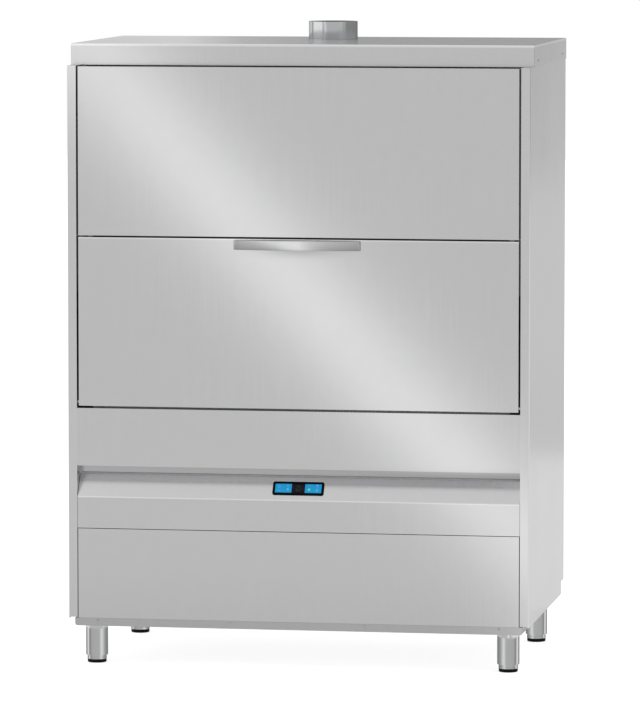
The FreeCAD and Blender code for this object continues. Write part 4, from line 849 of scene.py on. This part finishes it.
def bar(centre, across, up, wide, tall):
    left, right = across - wide / 2, across + wide / 2
    low, high = up - tall / 2, up + tall / 2
    return flat_shape(centre, [(left, low), (right, low), (right, high), (left, high)])


def arc_band(centre, radius, width, start, end, steps=18):
    turns = [start + (end - start) * step / steps for step in range(steps + 1)]
    outline = [((radius + width) * math.cos(turn), (radius + width) * math.sin(turn)) for turn in turns]
    outline += [(radius * math.cos(turn), radius * math.sin(turn)) for turn in reversed(turns)]
    return flat_shape(centre, outline)


def key_print(name, key, shapes, material=PRINT_PALE):
    as_piece(name, joined(name, shapes), "key_blue", "key_body_" + key, (), material, smooth=False)


def make_prints():
    power = face_middle("key_power")
    symbol = shift(power, -0.001, 0.006)
    stroke = 0.0009
    key_print("power_print", "power",
              [arc_band(symbol, 0.0034, stroke, math.radians(125), math.radians(415)),
               bar(symbol, 0, 0.0032, stroke, 0.0042),
               bar(power, -0.001, -0.0075, 0.0088, PRINT_LINE),
               bar(power, -0.001, -0.0095, 0.0062, PRINT_LINE)])
    drain = face_middle("key_drain")
    waves = [bar(drain, 0.001, 0.006 + 0.0022 * row, 0.008 - 0.0016 * row, PRINT_LINE)
             for row in range(3)]
    key_print("drain_print", "drain", waves + [disc(shift(drain, 0.001, -0.004), 0.0034)])
    start = face_middle("key_start")
    key_print("start_print", "start", [disc(shift(start, 0, -0.004), 0.0042)], PRINT_GREEN)
    key_print("start_mark", "start",
              [bar(start, 0, 0.009, 0.007, PRINT_LINE), bar(start, 0, 0.0112, 0.004, PRINT_LINE)])
    cycle = face_middle("key_cycle")
    key_print("cycle_print", "cycle",
              [disc(shift(cycle, -0.0005, 0.0105), 0.0031), disc(shift(cycle, -0.001, -0.0065), 0.0031),
               bar(cycle, -0.0005, 0.002, 0.009, 0.0007)])


# A figure's strokes: the place across and up in half heights, and whether the stroke lies.
SEGMENTS = {"top": (0, 1, True), "middle": (0, 0, True), "bottom": (0, -1, True),
            "left_high": (-0.5, 0.5, False), "right_high": (0.5, 0.5, False),
            "left_low": (-0.5, -0.5, False), "right_low": (0.5, -0.5, False)}
FIGURES = {2: ("top", "right_high", "middle", "left_low", "bottom"),
           5: ("top", "left_high", "middle", "right_low", "bottom"),
           8: tuple(SEGMENTS)}
FIGURE_STROKE = 0.00085
FIGURE_PITCH = 1.9
STROKE_LENGTH = 0.78

# Rows of figures: the place up, the numbers and half the height.
WINDOW_ROWS = ((0.0072, (5, 5), 0.0034), (-0.0058, (8, 2), 0.0046))


def figure(centre, number, half_height):
    shapes = []
    for segment in FIGURES[number]:
        across, up, lying = SEGMENTS[segment]
        length = half_height * STROKE_LENGTH
        wide, tall = (length, FIGURE_STROKE) if lying else (FIGURE_STROKE, length)
        shapes.append(bar(centre, across * half_height, up * half_height, wide, tall))
    return shapes


def make_figures():
    middle = face_middle("display_window")
    shapes = []
    for up, numbers, half_height in WINDOW_ROWS:
        for index, number in enumerate(numbers):
            across = (index - (len(numbers) - 1) / 2) * half_height * FIGURE_PITCH
            shapes += figure(shift(middle, across, up), number, half_height)
    shapes.append(arc_band(shift(middle, 0.0115, -0.0022), 0.0007, 0.0004, 0, 2 * math.pi))
    as_piece("window_figures", joined("window_figures", shapes), "display_black", "root", (),
             PRINT_DIGITS, smooth=False)


make_prints()
make_figures()


# Stage: floor, world, lamp and cards.

WHITE = (1, 1, 1, 1)
FLOOR_SIZE = 60
FLOOR_PAINT = (0.8, 0.8, 0.8, 1)
FLOOR_ROUGHNESS = 0.9
FLOOR_GLOW = 0.7
FLOOR_SHARE_IN_MIRRORS = 0.76
WORLD_SEEN = 1.0
WORLD_LIGHT = 0.7
OVERHEAD_POWER = 25
OVERHEAD_SIZE = (4, 3)
OVERHEAD_PLACE = (0.5, -2, 6)
OVERHEAD_TILT = math.radians(20)


def seen_directly(nodes, in_mirrors=1.0):
    """One for camera and transmission rays, a given share for glossy rays, nought for the others."""
    path = nodes.add("LightPath").outputs
    mirrored = nodes.math("MULTIPLY", path["Is Glossy Ray"], in_mirrors)
    seen = nodes.math("MAXIMUM", path["Is Camera Ray"], mirrored)
    return nodes.math("MAXIMUM", seen, path["Is Transmission Ray"])


def make_world():
    world = bpy.data.worlds.new("white room")
    bpy.context.scene.world = world
    world.use_nodes = True
    nodes = Nodes(world.node_tree)
    light = nodes.tree.nodes["Background"]
    nodes.join(light, {"Color": WHITE, "Strength": WORLD_LIGHT})
    seen = nodes.add("Background", {"Color": WHITE, "Strength": WORLD_SEEN})
    mix = nodes.add("MixShader", {"Fac": seen_directly(nodes), 1: light.outputs[0], 2: seen.outputs[0]})
    nodes.join(nodes.tree.nodes["World Output"], {"Surface": mix.outputs[0]})


def on_stage(name, points, faces, material, place=(0, 0, 0)):
    mesh = mesh_of(name, points, faces)
    mesh.materials.append(material)
    thing = bpy.data.objects.new(name, mesh)
    thing.location = place
    bpy.context.scene.collection.objects.link(thing)
    return thing


def make_floor():
    """A matt floor that looks white to the camera and still keeps the machine's shadow."""
    floor = Finish("white floor")
    floor.set(Base_Color=FLOOR_PAINT, Roughness=FLOOR_ROUGHNESS)
    strength = floor.math("MULTIPLY", seen_directly(floor, FLOOR_SHARE_IN_MIRRORS), FLOOR_GLOW)
    glow = floor.add("Emission", {"Strength": strength})
    both = floor.add("AddShader", {0: floor.surface.outputs[0], 1: glow.outputs[0]})
    floor.join(floor.tree.nodes["Material Output"], {"Surface": both.outputs[0]})
    half = FLOOR_SIZE / 2
    level = cad_box[0][2]
    on_stage("floor", [(-half, -half, level), (half, -half, level), (half, half, level),
                       (-half, half, level)], [(0, 1, 2, 3)], floor.material)


def make_overhead_lamp():
    data = bpy.data.lights.new("overhead", "AREA")
    data.shape = "RECTANGLE"
    data.size, data.size_y = OVERHEAD_SIZE
    data.energy = OVERHEAD_POWER
    lamp = bpy.data.objects.new("overhead", data)
    bpy.context.scene.collection.objects.link(lamp)
    lamp.location = OVERHEAD_PLACE
    lamp.rotation_euler = (OVERHEAD_TILT, 0, 0)
    lamp.visible_camera = lamp.visible_glossy = False


# Cards: glowing sheets that only shiny surfaces see.

class CardLight(Nodes):
    """The glow of a card, worked out from a place on it."""

    def __init__(self, name):
        self.material = bpy.data.materials.new(name)
        self.material.use_nodes = True
        super().__init__(self.material.node_tree)
        self.tree.nodes.remove(self.tree.nodes["Principled BSDF"])
        self.x, self.y, self.z = self.add("SeparateXYZ", {"Vector": self.object_place()}).outputs

    def along(self, value, stops):
        """A strength that runs through (place, strength) stops."""
        grey, strongest = self.ramp(value, stops)
        return self.math("MULTIPLY", grey, strongest)

    def finish(self, strength):
        glow = self.add("Emission", {"Strength": strength})
        self.join(self.tree.nodes["Material Output"], {"Surface": glow.outputs[0]})
        return self.material


def hang(name, points, faces, material, place=(0, 0, 0)):
    """Put up a card that neither the camera nor plain light notices."""
    card = on_stage(name, points, faces, material, place)
    card.visible_camera = False
    card.visible_diffuse = False
    card.visible_transmission = False
    card.visible_shadow = False


def upright(x, y, z):
    return [(x[0], y, z[0]), (x[1], y, z[0]), (x[1], y, z[1]), (x[0], y, z[1])]


# The card in front: its lip along the floor is given as (Y, Z), its strength by height.
FRONT_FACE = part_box("upper_door_skin")[0].y
FRONT_CARD_DISTANCE = 1.2
FRONT_CARD_X, FRONT_CARD_Z = (-1.8, 1.5), (0.0, 4.2)
FRONT_CARD_LIP = (-0.6, 0.001)
FRONT_GLOW = ((0.0, 0.72), (0.12, 0.78), (0.35, 0.79), (0.7, 0.78), (2.2, 0.78), (2.6, 0.9),
              (4.2, 0.92))

# The slanting streak on the doors: two points on its middle line, as (X, Z).
STREAK_HIGH = (-0.75, 2.018)
STREAK_LOW = (0.9, 0.233)
STREAK_SPREAD = 0.1
STREAK_GLOW = 0.5


def mirrored_place(across, level):
    """Where the camera's sight line lands on the front card, off the front face at this place."""
    reach = FRONT_CARD_DISTANCE / (FRONT_FACE - CAMERA_PLACE[1])
    return (across + (across - CAMERA_PLACE[0]) * reach, level + (level - CAMERA_PLACE[2]) * reach)


def streak_strength(light):
    """A bell across the streak's middle line."""
    high_x, high_z = mirrored_place(*STREAK_HIGH)
    low_x, low_z = mirrored_place(*STREAK_LOW)
    length = math.hypot(low_x - high_x, low_z - high_z)
    side_x, side_z = (low_z - high_z) / length, (high_x - low_x) / length
    off_x = light.math("MULTIPLY", light.math("SUBTRACT", light.x, high_x), side_x)
    off_z = light.math("MULTIPLY", light.math("SUBTRACT", light.z, high_z), side_z)
    off_line = light.math("ABSOLUTE", light.math("ADD", off_x, off_z))
    squared = light.math("POWER", off_line, 2)
    bell = light.math("EXPONENT", light.math("MULTIPLY", squared, -0.5 / STREAK_SPREAD ** 2))
    return light.math("MULTIPLY", bell, STREAK_GLOW)


def make_front_card():
    light = CardLight("front card")
    strength = light.math("ADD", light.along(light.z, FRONT_GLOW), streak_strength(light))
    points = upright(FRONT_CARD_X, FRONT_FACE - FRONT_CARD_DISTANCE, FRONT_CARD_Z)
    points += [(x, *FRONT_CARD_LIP) for x in FRONT_CARD_X]
    hang("front card", points, [(0, 1, 2, 3), (0, 4, 5, 1)], light.finish(strength))


# Cards behind the machine, for the cap's top (strength by X) and for the right-hand side panel
# (strength by height).
REAR_DISTANCE = 6
CAP_CARD_X, CAP_CARD_Z = (-4.0, 0.6), (1.95, 4.5)
CAP_GLOW = ((-2.2, 0.9), (-1.6, 0.95), (-1.35, 0.64), (-0.87, 0.48), (-0.3, 0.49))
SIDE_CARD_X, SIDE_CARD_Z = (0.7, 5.0), (0.0, 4.5)
SIDE_GLOW = ((0.0, 0.88), (0.5, 0.93), (1.2, 0.94), (1.7, 0.88), (4.5, 0.84))


def make_rear_cards():
    light = CardLight("cap card")
    hang("cap card", upright(CAP_CARD_X, REAR_DISTANCE, CAP_CARD_Z), [(0, 1, 2, 3)],
         light.finish(light.along(light.x, CAP_GLOW)))
    light = CardLight("side card")
    hang("side card", upright(SIDE_CARD_X, REAR_DISTANCE, SIDE_CARD_Z), [(0, 1, 2, 3)],
         light.finish(light.along(light.z, SIDE_GLOW)))


# Cards all round, seen in the collar: direction in degrees from straight in front (right is
# positive), width in degrees and strength.
SIDE_STRIPS = ((-130, 38, 1.2), (-106, 10, 0.5), (-73, 56, 1.4), (47, 18, 0.78), (64, 16, 0.6),
               (100, 56, 0.38), (145, 34, 0.42))
STRIP_DISTANCE = 6
STRIP_HEIGHT = (1.2, 2.5)


def make_side_strips():
    low, high = STRIP_HEIGHT
    for direction, width, glow in SIDE_STRIPS:
        ends = []
        for angle in (direction - width / 2, direction + width / 2):
            turn = math.radians(angle)
            ends.append((STRIP_DISTANCE * math.sin(turn), -STRIP_DISTANCE * math.cos(turn)))
        points = [(*ends[0], low), (*ends[1], low), (*ends[1], high), (*ends[0], high)]
        hang("side strip", points, [(0, 1, 2, 3)], CardLight("side strip").finish(glow))


# A low fence round each leg: strength by direction in degrees from the camera's side.
FENCE_RADIUS, FENCE_HEIGHT, FENCE_MOUTH = 0.12, 0.1, 0.045
FENCE_FOOT = 0.0005
FENCE_STOPS = ((-180, 0.4), (-112, 0.5), (-93, 1.25), (-72, 0.35), (-48, 0.6), (20, 0.64), (42, 1.1),
               (76, 0.52), (100, 0.38), (180, 0.34))
FENCE_SIDES = 48


def fence_shape():
    points, faces = [], []
    for side in range(FENCE_SIDES):
        angle = 2 * math.pi * side / FENCE_SIDES
        across, deep = math.cos(angle), math.sin(angle)
        points += [(FENCE_MOUTH * across, FENCE_MOUTH * deep, FENCE_FOOT),
                   (FENCE_RADIUS * across, FENCE_RADIUS * deep, FENCE_FOOT),
                   (FENCE_RADIUS * across, FENCE_RADIUS * deep, FENCE_HEIGHT)]
        here, ahead = 3 * side, 3 * ((side + 1) % FENCE_SIDES)
        faces += [(here, ahead, ahead + 1, here + 1), (here + 1, ahead + 1, ahead + 2, here + 2)]
    return points, faces


def make_fences():
    for corner in CORNERS:
        centre = middle_of("foot_" + corner)
        light = CardLight("fence")
        towards_camera = math.atan2(CAMERA_PLACE[0] - centre.x, centre.y - CAMERA_PLACE[1])
        turned = light.math("ARCTAN2", light.x, light.math("MULTIPLY", light.y, -1))
        off_sight = light.math("SUBTRACT", turned, towards_camera)
        degrees = light.math("MULTIPLY", off_sight, math.degrees(1))
        hand = 1 if "left" in corner else -1
        strength = light.along(light.math("MULTIPLY", degrees, hand), FENCE_STOPS)
        hang("fence", *fence_shape(), light.finish(strength), (centre.x, centre.y, 0))


make_world()
make_floor()
make_overhead_lamp()
make_front_card()
make_rear_cards()
make_side_strips()
make_fences()

bpy.context.scene.view_settings.view_transform = "Standard"
